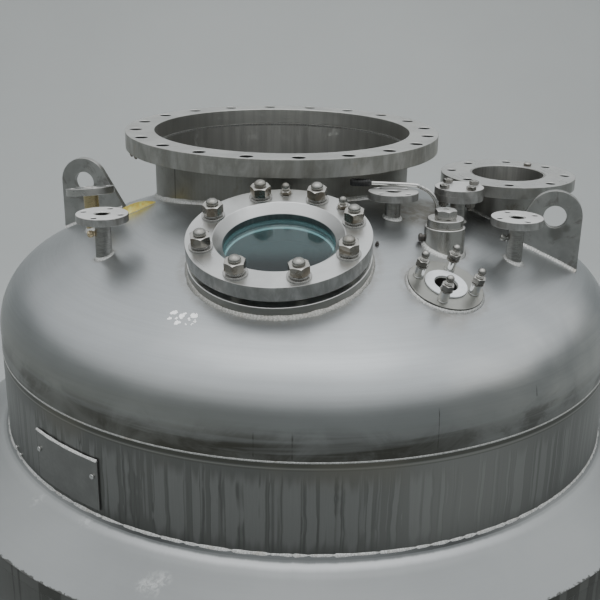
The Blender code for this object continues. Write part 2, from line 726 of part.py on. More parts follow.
def wear_pad(data, turn):
    """Curved pad that follows the facets of the jacket."""
    facet = 2 * math.pi / SEG_VESSEL
    low, high = LEG_PAD_Z
    columns = []
    for step in range(-LEG_PAD_HALF_STEPS, LEG_PAD_HALF_STEPS + 1):
        angle = turn + step * facet
        column = []
        for radius in (JACKET_R + GAP, JACKET_R + GAP + LEG_PAD_T):
            x, y = radius * math.cos(angle), radius * math.sin(angle)
            column.append((data.verts.new((x, y, low)), data.verts.new((x, y, high))))
        columns.append(column)
    for (inner, outer), (next_inner, next_outer) in zip(columns, columns[1:]):
        data.faces.new((inner[0], next_inner[0], next_inner[1], inner[1]))
        data.faces.new((outer[0], outer[1], next_outer[1], next_outer[0]))
        data.faces.new((inner[1], next_inner[1], next_outer[1], outer[1]))
        data.faces.new((inner[0], outer[0], next_outer[0], next_inner[0]))
    for inner, outer in (columns[0], columns[-1]):
        data.faces.new((inner[0], inner[1], outer[1], outer[0]))


def main():
    """Build every piece of the tank."""
    clear_scene()
    satin = material("satin_steel", (0.52, 0.53, 0.54), 0.32, 1.0)
    streaked = material("streaked_steel", (0.34, 0.34, 0.34), 0.42, 1.0)
    turned = material("turned_steel", (0.60, 0.60, 0.60), 0.28, 1.0)
    bolts = material("bolt_steel", (0.45, 0.43, 0.40), 0.35, 1.0)
    glass = material("sight_glass", (0.30, 0.55, 0.56), 0.05, 0.0)
    rubber = material("gasket_rubber", (0.05, 0.05, 0.05), 0.7, 0.0)
    black = material("grip_plastic", (0.02, 0.02, 0.02), 0.4, 0.0)
    ptfe = material("gasket_ptfe", (0.80, 0.86, 0.90), 0.5, 0.0)
    build_vessel(satin)
    build_jacket(streaked)
    build_large_nozzles(turned)
    build_small_nozzles(turned)
    build_sight_glass(turned, glass, rubber)
    build_pad(turned, bolts, ptfe)
    build_boss(turned)
    build_lugs(turned)
    build_handle(turned, black)
    build_nameplate_bracket(streaked)
    build_outlet(turned)
    build_legs(streaked)


main()
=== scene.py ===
"""Looks of a jacketed stainless steel process tank: fine shapes, finishes, light and camera.

Metres, +Z up, floor at z = 0, tank axis at x = y = 0, the photographed side faces -Y.
An (r, z) outline that starts on the axis makes a solid; any other is closed into a ring.
"""

import random
from math import acos, asin, atan2, cos, hypot, pi, radians, sin, sqrt, tan

import bmesh
import bpy
from mathutils import Matrix, Vector, noise

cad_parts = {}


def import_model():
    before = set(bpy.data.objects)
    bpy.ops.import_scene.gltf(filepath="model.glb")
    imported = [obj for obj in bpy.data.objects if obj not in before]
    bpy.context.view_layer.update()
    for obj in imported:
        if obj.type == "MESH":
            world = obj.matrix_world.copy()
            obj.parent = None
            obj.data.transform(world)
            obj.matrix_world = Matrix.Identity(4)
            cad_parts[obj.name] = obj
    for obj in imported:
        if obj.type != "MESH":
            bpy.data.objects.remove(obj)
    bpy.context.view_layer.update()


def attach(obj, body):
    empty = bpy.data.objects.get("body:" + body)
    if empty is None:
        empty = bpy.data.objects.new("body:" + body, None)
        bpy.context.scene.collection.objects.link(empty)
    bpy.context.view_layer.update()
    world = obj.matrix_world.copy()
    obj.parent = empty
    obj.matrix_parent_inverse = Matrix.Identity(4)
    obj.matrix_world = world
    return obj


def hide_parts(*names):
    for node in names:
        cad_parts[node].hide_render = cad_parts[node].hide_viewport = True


GAP = 0.0003
UP = Vector((0, 0, 1))
FLAT_CORNER = 2.85  # radians; a corner of an outline flatter than this stays as it is

# Vessel
VESSEL_R = 0.700
VESSEL_WALL = 0.008
HEAD_WELD_Z = 2.400
STRAIGHT = 0.047
COURSE_H = 0.185
JACKET_WELD_Z = HEAD_WELD_Z - COURSE_H
INNER_TANGENT_Z = 0.817
CROWN_R = 2.0 * VESSEL_R
KNUCKLE_R = 0.2 * VESSEL_R
CROWN_CENTRE = -sqrt((CROWN_R - KNUCKLE_R) ** 2 - (VESSEL_R - KNUCKLE_R) ** 2)
CROWN_EDGE_R = (VESSEL_R - KNUCKLE_R) * CROWN_R / (CROWN_R - KNUCKLE_R)
HEAD_POLE_R = 0.080  # the head's shell ends here, inside the manhole's opening
DISH_DEPTH = 0.3875  # depth of a dished head over its radius

# Jacket
JACKET_R = 0.836
JACKET_WALL = 0.006
SHOULDER_EDGE_R = 0.822
SHOULDER_EDGE_DROP = 0.075
SHOULDER_SKIRT_DROP = 0.105
JACKET_BOTTOM_Z = 0.800
JACKET_STRAIGHT = 0.030
JACKET_SEAM_AZIMUTH = 118
JACKET_TONES = ((0.13, 0.13, 0.12), (0.205, 0.205, 0.195))  # dark ground, light run marks

# Nozzles: x and y, face above the head weld, flange and neck sizes, bolt circle
MANHOLE = {"xy": (-0.065, 0.191), "top": 0.4244, "od": 0.760, "t": 0.040, "neck": 0.620,
           "wall": 0.0004, "short": 0.036, "pcd": 0.709, "holes": 20, "hole": 0.030, "phase": 7.3}
SIDE = {"xy": (0.474, 0.091), "top": 0.3465, "od": 0.313, "t": 0.027, "neck": 0.175,
        "wall": 0.004, "short": 0.0012, "pcd": 0.264, "holes": 8, "hole": 0.022, "phase": -9.2}
SMALL = {"od": 0.108, "neck": 0.0337, "wall": 0.0029, "pcd": 0.082, "holes": 4, "hole": 0.013}
SMALL_NOZZLES = {  # face, axis, phase of the holes, thickness
    "right": ((0.435, -0.232, 0.3234), (0, 0, 1), 19.0, 0.016),
    "left": ((-0.421, -0.255, 0.3200), (0, 0, 1), -12.6, 0.016),
    "rear_left": ((-0.4935, -0.035, 0.3220), (-0.083, 0.159, 0.984), 30.0, 0.016),
    "middle": ((0.183, -0.155, 0.3545), (0, 0.04, 1), 45.0, 0.016),
    "capped": ((0.3353, -0.077, 0.3364), (0, 0, 1), 30.0, 0.014),
}
NECK_DEPTH = VESSEL_WALL + 0.016  # how far a neck reaches under the head's outside
BLIND_T = 0.013
MANHOLE_SEAM_AZIMUTH = -140.5
DRIP_AZIMUTHS = (-156.6, -155.8, -153.0, -152.2, -151.6)
SIDE_PLUG_XY = (0.5406, 0.1822)
TAPS = {"right": (186.0, -0.0445, "bolt"), "left": (-158.0, -0.0420, "brass")}

# Sight glass, with heights above the head
SIGHT_XY = (-0.0518, -0.3717)
SIGHT_OD = 0.363
SIGHT_BORE = 0.219
SIGHT_BEVEL_D = 0.256
SIGHT_GLASS_D = 0.258
SIGHT_PCD = 0.304
SIGHT_PHASE = 15.9
SIGHT_BASE_Z = (-0.035, 0.010)
SIGHT_SEAL_Z = (0.0103, 0.0133)
SIGHT_GLASS_Z = (0.0136, 0.0236)
SIGHT_COVER_Z = (0.0239, 0.0540)
SIGHT_SCREWS = (0.320, (86.6, 38.4))

# Studded pad and plugged boss
PAD_XY = (0.2681, -0.4130)
PAD_OD = 0.151
PAD_BORE = 0.044
PAD_PCD = 0.111
PAD_PHASE = -13.0
BOSS_XY = (0.282, -0.265)
BOSS_R = 0.0415
BOSS_PLUG_R = 0.0370
BOSS_CLIP = (176, 0.284)
STUB_XY = (0.142, -0.3032)

# Lugs
LUG_AZIMUTHS = {"right": -13.0, "left": 167.0}
LUG_T = 0.015
LUG_HOLE = (0.555, 0.2985)
LUG_HOLE_R = 0.0245
LUG_R = 0.058
LUG_INNER_R = 0.4536
LUG_TURN = 150.0

# Bent handle
HANDLE_Y = -0.133
HANDLE_R = 0.0045
HANDLE_BASE_X = 0.2845
HANDLE_PATH = ((0.2845, 0.286), (0.2840, 0.306), (0.2800, 0.324), (0.2720, 0.339),
               (0.2600, 0.351), (0.2440, 0.359), (0.2260, 0.3635), (0.1373, 0.3665))
GRIP_SPAN = (0.0910, 0.1367)
GRIP_Z = 0.3672
GRIP_R = 0.0085

# Nameplate bracket and what is riveted beside it: azimuth and height above the head weld
PLATE_AZIMUTH = -130.8
PLATE_HALF_ANGLE = radians(7.9)
PLATE_Z = (-0.173, -0.068)
PLATE_T = 0.004
RIVETS = ((-0.90, -0.108), (0.86, -0.103))
STUD_SPOTS = ((-150.6, -0.1760), (-148.0, -0.1790))

# Outlet and legs
OUTLET_PIPE_R = 0.04445
OUTLET_FACE_Z = 0.300
OUTLET = {"od": 0.200, "neck": 2 * OUTLET_PIPE_R, "t": 0.020, "pcd": 0.160, "holes": 8,
          "hole": 0.018, "phase": 22.5}
LEG_AZIMUTHS = {"front_right": -45.0, "rear_right": 45.0, "rear_left": 135.0,
                "front_left": -135.0}
LEG_R = 0.070
LEG_TOP_Z = 1.200
LEG_PAD_R = JACKET_R + GAP
LEG_PAD_T = 0.010
LEG_PAD_Z = (0.860, 1.260)
LEG_PAD_HALF_ANGLE = radians(11.25)
LEG_REACH = LEG_PAD_R + LEG_PAD_T + LEG_R - 0.002
FOOT_SIZE = 0.200
FOOT_T = 0.015

# Marks: x, y and half widths of the chalk dabs; x, y and size of the shoulder's scuffs
CHALK = ((-0.2432, -0.5093, 0.0060, 0.0050), (-0.2477, -0.5220, 0.0046, 0.0052),
         (-0.2368, -0.5236, 0.0024, 0.0044), (-0.2309, -0.5337, 0.0056, 0.0048),
         (-0.2236, -0.5184, 0.0062, 0.0068), (-0.2036, -0.5222, 0.0082, 0.0066),
         (-0.2126, -0.5293, 0.0030, 0.0042), (-0.2011, -0.5369, 0.0028, 0.0038),
         (-0.2167, -0.5412, 0.0020, 0.0024), (-0.2048, -0.5436, 0.0022, 0.0022))
SCUFFS = ((-0.260, -0.731, 0.028), (-0.279, -0.731, 0.018), (-0.243, -0.726, 0.018),
          (-0.412, -0.589, 0.018), (-0.402, -0.597, 0.014), (-0.533, -0.507, 0.015),
          (-0.512, -0.508, 0.016), (-0.640, -0.470, 0.024))
# Brown stains on the head, and grey patches of painted shade in front of the side nozzle where its
# neck's shadow and reflection fall: x, y, radius, strength, tone
HEAD_STAINS_AND_SHADE = (
    (0.225, -0.110, 0.11, 0.88, (0.23, 0.21, 0.175)),
    (0.290, -0.030, 0.10, 0.82, (0.22, 0.20, 0.16)),
    (0.385, -0.010, 0.10, 0.70, (0.18, 0.175, 0.16)),
    (0.410, -0.110, 0.07, 0.40, (0.26, 0.255, 0.24)),
    (0.270, -0.500, 0.05, 0.30, (0.40, 0.36, 0.30)),
    (-0.300, -0.130, 0.07, 0.14, (0.40, 0.40, 0.40)),
)
# Painted highlights on the head, bright patches where its knuckle catches the light: x, y, height
# above the head weld, radius
HEAD_HIGHLIGHTS = ((0.330, -0.590, 0.085, 0.12), (0.430, -0.520, 0.095, 0.14),
             (0.560, -0.390, 0.095, 0.17))
# Dark drips above the head weld: azimuth, bottom, top, half width
HEAD_DRIPS = ((-97.0, 0.008, 0.046, 0.0028), (-91.45, 0.006, 0.048, 0.0030),
              (-70.1, 0.012, 0.080, 0.0019), (-51.86, 0.066, 0.078, 0.0026))

# Camera, worked out from the ellipses of the photograph
LENS = 57.58
EYE = (0, -2.1634, HEAD_WELD_Z + 0.8260)
PITCH, YAW, ROLL = 0.345398, -0.00603, 0.01788

# Soft lights: place, target, size, power
LIGHTS = {
    "softbox_top": ((0.0, -0.6, 8.5), (0, 0, 2.4), 5.0, 60.0),
    "softbox_fill": ((0.0, -1.5, 8.5), (0, 0, 2.4), 5.0, 120.0),
    "softbox_wall": ((0.0, 6.0, 7.0), (0, 13.0, 1.5), 5.0, 410.0),
}
FRONT_SKY = ((0.0, 0.11), (0.18, 0.15), (0.42, 0.69), (0.70, 0.98), (0.88, 1.08), (1.0, 0.97))
BACK_SKY = ((0.0, 0.54), (0.30, 0.65), (0.65, 0.82), (0.90, 0.93), (1.0, 0.99))
SKY_TINT = (0.97, 1.0, 1.015)
FLOOR_R = 9.0
WALL_CURVE_R = 4.0
WALL_TOP_Z = 6.5

LOOKS = {}  # material and slot by key, filled by make_looks


def polar(radius, angle, height=0.0):
    """Point at a radius and an angle about z."""
    return Vector((radius * cos(angle), radius * sin(angle), height))


def outward(azimuth):
    """Level unit vector at an azimuth in degrees."""
    return polar(1, radians(azimuth))


def turned_to(azimuth):
    """Rotation about z by an azimuth in degrees."""
    return Matrix.Rotation(radians(azimuth), 4, "Z")


def frame_at(point, axis):
    """Matrix whose z runs along the axis and whose x stays near world x, or y on a level axis."""
    z = Vector(axis).normalized()
    level = Vector((1, 0, 0)) if abs(z.x) < 0.9 else Vector((0, 1, 0))
    x = (level - z * level.dot(z)).normalized()
    rotation = Matrix((x, z.cross(x), z)).transposed().to_4x4()
    return Matrix.Translation(Vector(point)) @ rotation


def above_weld(x, y, z=0.0):
    """A point given by its height above the head weld."""
    return Vector((x, y, HEAD_WELD_Z + z))


def dome_height(distance):
    """Height of the head's outside above the head weld."""
    if distance < CROWN_EDGE_R:
        return STRAIGHT + CROWN_CENTRE + sqrt(CROWN_R ** 2 - distance ** 2)
    over = min(distance - (VESSEL_R - KNUCKLE_R), KNUCKLE_R)
    return STRAIGHT + sqrt(KNUCKLE_R ** 2 - over ** 2)


def dome_normal(point):
    """Outward normal of the head at or near a point."""
    distance = hypot(point.x, point.y)
    height = point.z - HEAD_WELD_Z - STRAIGHT
    if distance < CROWN_EDGE_R:
        return Vector((point.x, point.y, height - CROWN_CENTRE)).normalized()
    if height <= 0:
        return Vector((point.x, point.y, 0)).normalized()
    over = distance - (VESSEL_R - KNUCKLE_R)
    return Vector((point.x / distance * over, point.y / distance * over, height)).normalized()


def dome_point(x, y, lift=0.0):
    """Point on the head, lifted along its normal."""
    spot = above_weld(x, y, dome_height(hypot(x, y)))
    return spot + dome_normal(spot) * lift


def dome_frame(x, y):
    """Frame on the crown, z along its normal."""
    spot = dome_point(x, y)
    return frame_at(spot, dome_normal(spot))


def slide_to_dome(spot, axis):
    """Move a point along an axis until it meets the head."""
    for _ in range(12):
        miss = spot.z - HEAD_WELD_Z - dome_height(hypot(spot.x, spot.y))
        spot = spot - axis * (miss / max(axis.z, 0.2))
    return spot


def ring_place(pitch, count, phase, index):
    """Local matrix of one place on a bolt circle, turned to face outward."""
    angle = radians(phase + 360 * index / count)
    return Matrix.Translation(polar(pitch / 2, angle)) @ Matrix.Rotation(angle, 4, "Z")


def box(inner, outer, low, high):
    """Outline of a plain ring, or of a disc where the inner radius is 0."""
    return [(inner, low), (outer, low), (outer, high), (inner, high)]


def rounded(points, radius, steps):
    """Round the corners of an outline, apart from its ends on the axis."""
    count = len(points)
    out = []
    for index, point in enumerate(points):
        here = Vector(point)
        to_before = Vector(points[index - 1]) - here
        to_after = Vector(points[(index + 1) % count]) - here
        on_axis = points[0][0] == 0 and index in (0, count - 1)
        if (on_axis or to_before.length * to_after.length == 0
                or to_before.angle(to_after) > FLAT_CORNER):
            out.append(tuple(here))
            continue
        cut_back = min(radius, 0.45 * to_before.length, 0.45 * to_after.length)
        start = here + to_before.normalized() * cut_back
        stop = here + to_after.normalized() * cut_back
        for step in range(steps + 1):
            t = step / steps
            spot = start * (1 - t) ** 2 + here * (2 * t * (1 - t)) + stop * t ** 2
            out.append(tuple(spot))
    return out


def bridge(data, lower, upper, loop=True):
    """Faces between two rings, either of which may be a pole."""
    count = max(len(lower), len(upper))
    for step in range(count if loop else count - 1):
        after = (step + 1) % count
        corners = []
        for ring, order in ((lower, (step, after)), (upper, (after, step))):
            corners.extend(ring[pick] for pick in ([0] if len(ring) == 1 else order))
        data.faces.new(corners)


def skin(data, rings, closed=True, loop=True):
    """Faces from ring to ring, and from the last to the first where it is closed."""
    for lower, upper in zip(rings, rings[1:] + (rings[:1] if closed else [])):
        bridge(data, lower, upper, loop)


def lathe(data, outline, segments, matrix=Matrix(), ease=0.0, steps=3):
    """Revolve an outline about local z, with its corners eased."""
    if ease:
        outline = rounded(outline, ease, steps)
    rings = []
    for radius, height in outline:
        rings.append([data.verts.new(matrix @ polar(radius, 2 * pi * step / segments, height))
                      for step in range(segments if radius else 1)])
    skin(data, rings, closed=outline[0][0] != 0)


def new_object(name, data):
    """Put a bmesh in the scene under a name."""
    mesh = bpy.data.meshes.new(name)
    data.to_mesh(mesh)
    data.free()
    item = bpy.data.objects.new(name, mesh)
    bpy.context.scene.collection.objects.link(item)
    return item


def show(name, data, look, place=Matrix(), stands_for="", slot=None, angle=35, weighted=True):
    """Turn a bmesh into a piece with its look, for the nodes that it stands for."""
    bmesh.ops.recalc_face_normals(data, faces=data.faces)
    material, usual_slot = LOOKS[look]
    item = new_object(name, data)
    item.data.materials.append(material)
    item.data.shade_smooth()
    item.data.set_sharp_from_angle(angle=radians(angle))
    item.matrix_world = place
    if weighted:
        item.modifiers.new("weighted", "WEIGHTED_NORMAL").keep_sharp = True
    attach(item, "root")
    if stands_for:
        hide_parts(*stands_for.split())
    return item


def turned(name, look, outline, segments, place=Matrix(), stands_for="", ease=0.0, **more):
    """Piece made by revolving one outline."""
    data = bmesh.new()
    lathe(data, outline, segments, ease=ease)
    return show(name, data, look, place, stands_for, **more)


def welded(name, path, width, look="weld", slot=None, **settings):
    """Piece made of one weld bead."""
    data = bmesh.new()
    bead(data, path, width, **settings)
    return show(name, data, look, slot=slot, weighted=False)


def cut(data, cutters):
    """Subtract one bmesh from another and return the result."""
    parts = []
    for piece in (data, cutters):
        bmesh.ops.recalc_face_normals(piece, faces=piece.faces)
        parts.append(new_object("scratch", piece))
    body, tool = parts
    modifier = body.modifiers.new("cut", "BOOLEAN")
    modifier.solver = "EXACT"
    modifier.object = tool
    graph = bpy.context.evaluated_depsgraph_get()
    result = bmesh.new()
    result.from_mesh(body.evaluated_get(graph).to_mesh())
    body.evaluated_get(graph).to_mesh_clear()
    for item in parts:
        mesh = item.data
        bpy.data.objects.remove(item, do_unlink=True)
        bpy.data.meshes.remove(mesh)
    return result


def hole_cutters(pitch, count, phase, hole, top, bottom):
    """Chamfered drills on a bolt circle, between two faces."""
    chamfer, far = 0.001, 0.02
    r = hole / 2
    drill = [(0, bottom - far), (r + chamfer + far, bottom - far), (r, bottom + chamfer),
             (r, top - chamfer), (r + chamfer + far, top + far), (0, top + far)]
    data = bmesh.new()
    for index in range(count):
        lathe(data, drill, 28, ring_place(pitch, count, phase, index))
    return data


def prism(data, outline, thickness):
    """Extrude an outline of (x, z) points by a thickness along y."""
    sides = [[data.verts.new((x, offset, z)) for x, z in outline]
             for offset in (-thickness / 2, thickness / 2)]
    data.faces.new(sides[0])
    data.faces.new(list(reversed(sides[1])))
    bridge(data, *sides)


def curved_plate(data, inner, outer, low, high, half_angle, steps, matrix):
    """Plate bent round z between two radii."""
    rings = []
    for radius, height in box(inner, outer, low, high):
        rings.append([data.verts.new(matrix @ polar(radius, half_angle * (2 * k / steps - 1),
                                                    height)) for k in range(steps + 1)])
    skin(data, rings, loop=False)
    for end in (0, -1):
        data.faces.new([ring[end] for ring in rings])


def soften(item, width):
    """Bevel the sharp edges of a piece."""
    bevel = item.modifiers.new("edges", "BEVEL")
    bevel.width = width
    bevel.segments = 2
    bevel.limit_method = "ANGLE"
    bevel.angle_limit = radians(40)
    bevel.harden_normals = True
    item.modifiers.move(len(item.modifiers) - 1, 0)


def bar(data, path, radius, sides):
    """Round bar along a path, closed at its ends."""
    rings = []
    for index, spot in enumerate(path):
        along = path[min(index + 1, len(path) - 1)] - path[max(index - 1, 0)]
        place = frame_at(spot, along)
        rings.append([data.verts.new(place @ polar(radius, 2 * pi * step / sides))
                      for step in range(sides)])
    skin(data, rings, closed=False)
    for end in (0, -1):
        data.faces.new(rings[end])


def smooth_path(points, steps=8):
    """Catmull-Rom curve through points."""
    out = []
    for index in range(len(points) - 1):
        a = points[max(index - 1, 0)]
        b, c = points[index], points[index + 1]
        d = points[min(index + 2, len(points) - 1)]
        for step in range(steps):
            t = step / steps
            out.append(0.5 * (2 * b + (c - a) * t + (2 * a - 5 * b + 4 * c - d) * t ** 2
                              + (3 * b - a - 3 * c + d) * t ** 3))
    out.append(points[-1])
    return out


def weld_stops(chunks):
    """Distances along a weld at which a run ends and the next begins."""
    dice = random.Random(11)
    stops = []
    spot = 0.0
    while spot < 12:
        spot += dice.uniform(*chunks)
        stops.append(spot)
    return stops


def bead(data, path, width, span=90.0, pitch=0.006, ripple=0.12, wander=0.10, chunks=None,
         closed=True):
    """Weld bead along (point, side, other side) samples, rippled and a little uneven."""
    sides, flat = 6, 0.18
    stops = weld_stops(chunks) if chunks else []
    rings = []
    travelled = 0.0
    stop = 0
    last = path[0][0]
    for point, side, other in path:
        travelled += (point - last).length
        last = point
        wave = 1 - abs(2 * ((travelled / pitch) % 1) - 1)
        size = width * (1 + ripple * (wave - 0.5) + wander * noise.noise(point * 37))
        if stops:
            while stops[stop] < travelled:
                stop += 1
            ahead = stops[stop] - travelled
            behind = travelled - (stops[stop - 1] if stop else 0)
            size *= (0.38 + 0.62 * min(1, 0.1 + behind / 0.0025)
                     * min(1, 0.20 + ahead / 0.013))
        ring = [data.verts.new(point - (side + other) * (width * 0.25))]
        for step in range(sides + 1):
            angle = radians(span * step / sides)
            bulge = 1 - flat * sin(2 * angle) if span <= 90 else 1.0
            shift = (side * cos(angle) + other * sin(angle)) * (size * bulge)
            ring.append(data.verts.new(point + shift))
        rings.append(ring)
    skin(data, rings, closed)
    if not closed:
        for end in (0, -1):
            data.faces.new(rings[end])


def ring_path(radius, height, side, other, samples, matrix=Matrix()):
    """Bead path round local z; sides are (outward, up) pairs."""
    turn = matrix.to_3x3()
    path = []
    for step in range(samples):
        out = polar(1, 2 * pi * step / samples)
        a = turn @ (out * side[0] + UP * side[1])
        b = turn @ (out * other[0] + UP * other[1])
        path.append((matrix @ (out * radius + UP * height), a, b))
    return path


def dome_ring_path(place, radius, samples):
    """Bead path where a pipe or ring of some radius stands on the head."""
    axis = place.to_3x3() @ UP
    path = []
    for step in range(samples):
        out = place.to_3x3() @ polar(1, 2 * pi * step / samples)
        spot = slide_to_dome(place.translation + out * radius, axis)
        normal = dome_normal(spot)
        path.append((spot, axis, (out - normal * out.dot(normal)).normalized()))
    return path


def upright_path(foot, low, high, steps, side, other):
    """Bead path up a wall from one height to another."""
    return [(foot + UP * (low + (high - low) * k / steps), side, other)
            for k in range(steps + 1)]


def hex_nut(data, matrix, flats, bottom, top, bore):
    """Hexagonal nut with chamfered corners."""
    steps = 48
    crown = flats / 2 * 0.955
    slope = tan(radians(30))
    rings = [[] for _ in range(6)]
    for step in range(steps):
        angle = 2 * pi * step / steps
        turn = (angle + pi / 6) % (pi / 3) - pi / 6
        corner = flats / 2 / cos(turn)
        drop = (corner - crown) * slope
        levels = [(bore, bottom), (crown, bottom), (corner, bottom + drop),
                  (corner, top - drop), (crown, top), (bore, top)]
        for ring, (radius, height) in zip(rings, levels):
            ring.append(data.verts.new(matrix @ polar(radius, angle, height)))
    skin(data, rings)


def threaded(data, matrix, radius, bottom, top, pitch, segments=24):
    """Threaded stud end with a domed tip."""
    outline = [(0, bottom), (radius - 0.6 * pitch, bottom)]
    height = bottom
    while height + pitch < top - 0.3 * radius:
        outline += [(radius, height + 0.35 * pitch), (radius, height + 0.5 * pitch),
                    (radius - 0.55 * pitch, height + 0.95 * pitch)]
        height += pitch
    tip = radius - 0.5 * pitch
    outline += [(tip, height + 0.1 * pitch), (tip * 0.93, top - 0.14 * radius),
                (tip * 0.6, top - 0.03 * radius), (0, top)]
    lathe(data, outline, segments, matrix)


def cap_outline(base, radius, centre, start, turn, top):
    """Outline of a small acorn cap on a round foot."""
    return (base + [(radius * sin(start + turn * k), centre - radius * cos(start + turn * k))
                    for k in range(1, 8)] + [(0, top)])


class Finish:
    """One procedural material, painted tone over tone."""

    def __init__(self, name, colour, roughness, metallic=1.0):
        self.mat = bpy.data.materials.new(name)
        self.mat.use_nodes = True
        self.tree = self.mat.node_tree
        self.shader = self.tree.nodes["Principled BSDF"]
        self.fix("Base Color", (*colour, 1))
        self.fix("Roughness", roughness)
        self.fix("Metallic", metallic)
        self.spot = self.node("TexCoord").outputs["Object"]
        self.x, self.y, self.z = self.split(self.spot)
        self.colour, self.roughness, self.normal = colour, roughness, None

    def fix(self, name, value):
        """Set a number or colour that is the same all over."""
        self.shader.inputs[name].default_value = value

    def node(self, kind, **settings):
        node = self.tree.nodes.new("ShaderNode" + kind)
        for name, value in settings.items():
            setattr(node, name, value)
        return node

    def put(self, socket, value):
        """Link or set an input."""
        if isinstance(value, bpy.types.NodeSocket):
            self.tree.links.new(value, socket)
        elif socket.type == "RGBA" and len(value) == 3:
            socket.default_value = (*value, 1)
        else:
            socket.default_value = value

    def fill(self, node, *values):
        """Put values on a node's first inputs."""
        for socket, value in zip(node.inputs, values):
            self.put(socket, value)
        return node

    def split(self, vector):
        return self.fill(self.node("SeparateXYZ"), vector).outputs

    def math(self, operation, *values):
        return self.fill(self.node("Math", operation=operation), *values).outputs[0]

    def times(self, first, *others):
        """Product of masks and numbers."""
        for other in others:
            first = self.math("MULTIPLY", first, other)
        return first

    def plus(self, first, second):
        return self.math("ADD", first, second)

    def minus(self, first, second):
        return self.math("SUBTRACT", first, second)

    def size(self, value):
        return self.math("ABSOLUTE", value)

    def vector(self, x, y, z):
        return self.fill(self.node("CombineXYZ"), x, y, z).outputs[0]

    def noise(self, where, scale, detail=3.0, rough=0.55, distortion=0.0):
        node = self.node("TexNoise")
        for name, value in (("Vector", where), ("Scale", scale), ("Detail", detail),
                            ("Roughness", rough), ("Distortion", distortion)):
            self.put(node.inputs[name], value)
        return node.outputs["Fac"]

    def step(self, value, low, high):
        """Smooth rise from 0 at low to 1 at high, or a fall where low is the greater."""
        falls = low > high
        node = self.node("MapRange", interpolation_type="SMOOTHSTEP")
        for name, item in (("Value", value), ("From Min", min(low, high)),
                           ("From Max", max(low, high)), ("To Min", float(falls)),
                           ("To Max", float(not falls))):
            self.put(node.inputs[name], item)
        return node.outputs["Result"]

    def scale(self, value, low, high):
        """Map 0..1 to low..high."""
        return self.math("MULTIPLY_ADD", value, high - low, low)

    def mix(self, factor, first, second, blend="MIX"):
        node = self.node("Mix", data_type="RGBA", blend_type=blend)
        for index, value in ((0, factor), (6, first), (7, second)):
            self.put(node.inputs[index], value)
        return node.outputs[2]

    def polar(self):
        """Distance from the axis and the two parts of the direction round it."""
        square = self.plus(self.times(self.x, self.x), self.times(self.y, self.y))
        r = self.math("MAXIMUM", self.math("SQRT", square), 0.0005)
        self.ux, self.uy = (self.math("DIVIDE", item, r) for item in (self.x, self.y))
        return r, self.ux, self.uy

    def around(self, across, along, *settings, height=None):
        """Noise over the direction round the axis and over a height."""
        height = self.z if height is None else height
        where = self.vector(self.times(self.ux, across), self.times(self.uy, across),
                            self.times(height, along))
        return self.noise(where, 1.0, *settings)

    def distance(self, point):
        node = self.node("VectorMath", operation="DISTANCE")
        return self.fill(node, self.spot, point).outputs["Value"]

    def paint(self, mask, tone, amount=None, blend="MIX"):
        """Lay a tone over the colour so far."""
        factor = mask if amount is None else self.scale(mask, 0.0, amount)
        self.colour = self.mix(factor, self.colour, tone, blend)

    def roughen(self, mask, amount):
        self.roughness = self.plus(self.roughness, self.scale(mask, 0.0, amount))

    def bump(self, height, strength, distance):
        node = self.node("Bump")
        node.inputs["Strength"].default_value = strength
        node.inputs["Distance"].default_value = distance
        self.put(node.inputs["Height"], height)
        if self.normal is not None:
            self.put(node.inputs["Normal"], self.normal)
        self.normal = node.outputs["Normal"]

    def done(self):
        """Wire colour, roughness and the bumps to the shader."""
        self.put(self.shader.inputs["Base Color"], self.colour)
        self.put(self.shader.inputs["Roughness"], self.roughness)
        if self.normal is not None:
            self.put(self.shader.inputs["Normal"], self.normal)
        return self.mat


def shade(base, factor):
    """Darker or lighter version of a colour."""
    return tuple(c * factor for c in base)


